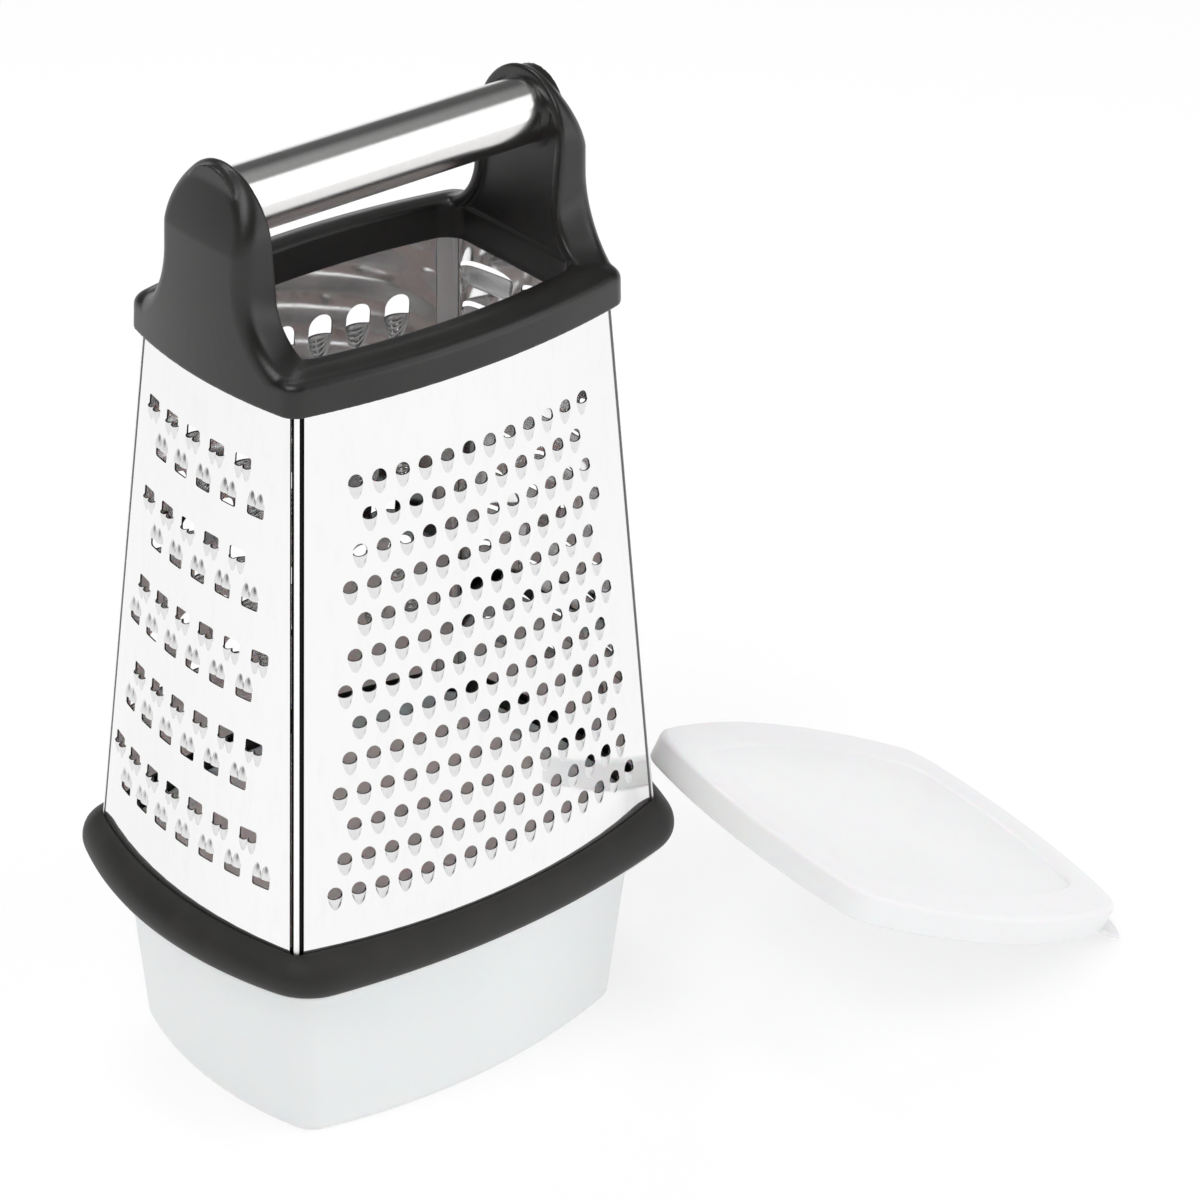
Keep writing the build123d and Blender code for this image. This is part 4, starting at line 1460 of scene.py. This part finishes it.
@dataclass
class Lid:
    """A milky plate with a deep skirt, a sunk middle and a lift tab, leaning on the ring."""

    plan_inset: float = 1.3
    corner: float = 12.0
    height: float = 9.0
    wall: float = 1.3
    edge_radius: float = 1.8
    inner_radius: float = 1.2
    hem: float = 0.35
    panel_inset: float = 14.0
    panel_depth: float = 1.0
    panel_slope: float = 1.6
    panel_steps: int = 6
    tab_reach: float = 5.5
    tab_half: float = 8.0
    tab_round: float = 4.0
    tab_root: float = 2.0
    tab_thickness: float = 1.0
    tab_edge: float = 0.25
    tab_steps: int = 16
    turns: tuple[float, float, float] = (8.0, 25.4, 3.6)
    place: tuple[float, float] = (141.9, -69.7)

    def turned(self) -> np.ndarray:
        """Return the rotation of the leaning lid."""
        about_x, about_y, about_z = (
            Matrix.Rotation(math.radians(angle), 3, axis) for angle, axis in zip(self.turns, "XYZ")
        )
        return np.array(about_z @ about_y @ about_x)

    def flat_skin(self) -> Skin:
        """Return the lid built flat, with its top face at zero."""
        skin = Skin()
        plan = LAYOUT.body_foot.grown(-self.plan_inset).rounded(self.corner)
        inside = self.corner - self.wall
        hem, low = self.hem, -self.height
        floor = -self.wall - self.panel_depth
        profile = [(plan.grown(-hem), low), (plan, low + hem)]
        profile += [(plan.grown(-inset), -drop) for inset, drop in rounded_step(self.edge_radius, 6)]
        sunk = plan.grown(-self.panel_inset)
        for i in range(self.panel_steps + 1):
            share = i / self.panel_steps
            dip = self.panel_depth * (1 - math.cos(share * math.pi)) / 2
            profile.append((sunk.grown(-self.panel_slope * (share - 0.5)), -dip))
        rings = skin.levels(profile)
        skin.rows(rings)
        skin.cap(rings[-1], True)
        profile = [(plan.grown(hem - self.wall), low), (plan.grown(-self.wall).rounded(inside), low + hem)]
        for inset, drop in rounded_step(self.inner_radius, 4):
            profile.append((plan.grown(-self.wall - inset).rounded(inside), floor - drop))
        under = [rings[0], *skin.levels(profile)]
        for outside, following in zip(under, under[1:]):
            skin.join(following, outside)
        skin.cap(under[-1], False)
        return skin

    def tab(self, skin: Skin) -> None:
        """Add the lift tab at the corner that lies on the table."""
        plan = LAYOUT.body_foot.grown(-self.plan_inset)
        x, y = plan.half_x - self.corner / 2, -(plan.half_y - self.corner / 2)
        out = np.array([x, y]) / math.hypot(x, y)
        sideways = np.array([-out[1], out[0]])
        length = self.corner / 2 + self.tab_reach
        outline = []
        for i in range(self.tab_steps + 1):
            a = math.pi / 2 - math.pi * i / self.tab_steps
            lift = abs(math.cos(a)) ** 0.5
            outline.append((length - self.tab_round + self.tab_round * lift, self.tab_half * math.sin(a)))
        outline += [(-self.tab_root, -self.tab_half), (-self.tab_root, self.tab_half)]
        points = np.array([np.array([x, y]) + out * u + sideways * v for u, v in outline])[::-1]
        rings = []
        centre, thick, edge = points.mean(0), self.tab_thickness, self.tab_edge
        for shrink, z in ((0.97, 0.0), (1.0, edge), (1.0, thick - edge), (0.97, thick)):
            line = centre + (points - centre) * shrink
            rings.append(skin.ring(np.column_stack([line, np.full(len(line), z - self.height)])))
        skin.chain(rings[::-1] if self._clockwise(points) else rings)

    @staticmethod
    def _clockwise(points: np.ndarray) -> bool:
        """Return whether a closed outline runs clockwise."""
        following = np.roll(points, -1, 0)
        return float((points[:, 0] * following[:, 1] - following[:, 0] * points[:, 1]).sum()) < 0

    def build(self) -> None:
        """Build the lid and lay it against the ring with its low end on the table."""
        skin = self.flat_skin()
        self.tab(skin)
        laid = np.concatenate(skin.points) @ self.turned().T
        laid += np.array([self.place[0], self.place[1], -laid[:, 2].min()])
        skin.points = [laid]
        clear, milky = (0.925, 0.93, 0.945, 1.0), (0.955, 0.957, 0.97, 1.0)
        finish = FrostedPlastic(name="frosted lid plastic", clear=clear, milky=milky)
        seated(skin.piece("milky_lid", 40), "lid", finish, ["lid"])


# ---------------------------------------------------------------------------------------------
# Studio
# ---------------------------------------------------------------------------------------------


class Lamp(Enum):
    """The studio's soft lamps: name, place, what it looks at, size and power."""

    KEY = ("key", (-0.9, -0.35, 1.35), (0.0, 0.0, 0.18), 0.8, 7.0)
    FILL = ("fill", (1.0, -0.95, 1.35), (0.0, 0.0, 0.2), 1.1, 4.0)
    FRONT = ("front", (0.94, -1.44, 0.62), (0.0, 0.0, 0.2), 1.5, 6.5)
    TOP = ("top", (0.1, 0.7, 1.5), (0.0, 0.0, 0.2), 0.6, 4.0)


@dataclass
class Studio:
    """Paper floor, soft lamps, white surroundings and the camera."""

    camera_at: tuple[float, float, float] = (-0.6554, -0.8340, 0.7470)
    right: tuple[float, float, float] = (0.7855, -0.6189, 0.0)
    back: tuple[float, float, float] = (-0.5368, -0.6812, 0.4978)
    lens: float = 129.42
    shift: float = 0.1802
    ambient: float = 0.7
    floor_size: float = 6.0
    floor_sides: int = 64

    def floor(self) -> None:
        """Lay the paper."""
        skin = Skin()
        disc = arc(0, math.tau, self.floor_sides) * self.floor_size / 2 / MM
        rings = [
            skin.ring(np.column_stack([disc * share, np.full(len(disc), z)]))
            for share, z in ((1.0, -12.0), (1.0, -0.4), (0.999, -0.05), (0.5, -0.05), (0.1, -0.05))
        ]
        skin.chain(rings)
        paper = skin.piece("paper_floor")
        PaleFloor().coat(paper)

    def lamps(self) -> None:
        """Hang the lamps."""
        for lamp in Lamp:
            name, place, target, size, power = lamp.value
            data = bpy.data.lights.new(name, "AREA")
            data.shape = "DISK"
            data.size = size
            data.energy = power
            made = linked(name, data)
            made.location = place
            made.rotation_euler = (Vector(place) - Vector(target)).to_track_quat("Z", "Y").to_euler()

    def surroundings(self) -> None:
        """Make the surroundings white to the eye, and a soft studio to the object."""
        world = bpy.data.worlds.new("studio")
        world.use_nodes = True
        bpy.context.scene.world = world
        shader = Shader(world.node_tree)
        path = shader.node("ShaderNodeLightPath", output="Is Camera Ray")
        passing = shader.node("ShaderNodeLightPath", output="Is Transmission Ray")
        glossy = shader.node("ShaderNodeLightPath", output="Is Glossy Ray")
        direction = shader.node("ShaderNodeTexCoord", output="Generated")
        parts = shader.node("ShaderNodeSeparateXYZ", {}, {0: direction}, "Z")
        stops = [
            (0.0, grey(1.0)), (0.06, grey(0.9)), (0.22, grey(0.13)), (0.7, grey(0.07)), (0.92, grey(0.5)),
        ]
        height = shader.node("ShaderNodeValToRGB", {"stops": stops}, {0: parts})
        white = shader.node("ShaderNodeBackground", {}, {"Color": grey(1.0), "Strength": 1.0})
        walls = shader.node("ShaderNodeBackground", {}, {"Color": height, "Strength": 1.0})
        soft = shader.node("ShaderNodeBackground", {}, {"Color": grey(1.0), "Strength": self.ambient})
        seen = shader.node("ShaderNodeMixShader", {}, {0: glossy, 1: soft, 2: walls})
        whole = shader.node("ShaderNodeMixShader", {}, {0: path.largest(passing), 1: seen, 2: white})
        shader.node("ShaderNodeOutputWorld", {}, {"Surface": whole})

    def camera(self) -> None:
        """Stand the camera where the photograph was taken."""
        right, back = Vector(self.right).normalized(), Vector(self.back).normalized()
        up = back.cross(right)
        data = bpy.data.cameras.new("camera")
        data.lens = self.lens
        data.sensor_width = 36.0
        data.sensor_fit = "HORIZONTAL"
        data.shift_x = self.shift
        data.clip_start, data.clip_end = 0.05, 20.0
        made = linked("camera", data)
        turn = Matrix((right, up, back)).transposed()
        made.matrix_world = Matrix.Translation(self.camera_at) @ turn.to_4x4()
        bpy.context.scene.camera = made

    def build(self) -> None:
        """Set up the whole studio."""
        self.floor()
        self.lamps()
        self.surroundings()
        self.camera()
        bpy.context.scene.view_settings.view_transform = "Standard"
        log.info("studio: floor, %d lamps, surroundings and camera", len(Lamp))


def main() -> None:
    """Build every piece in order."""
    logging.basicConfig(level=logging.INFO, format="%(name)s %(message)s")
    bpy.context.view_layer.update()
    Studio().build()
    SteelBody().build()
    TopFrame().build()
    HandleTube().build()
    BaseRing().build()
    Container().build()
    Lid().build()


if __name__ == "__main__":
    main()
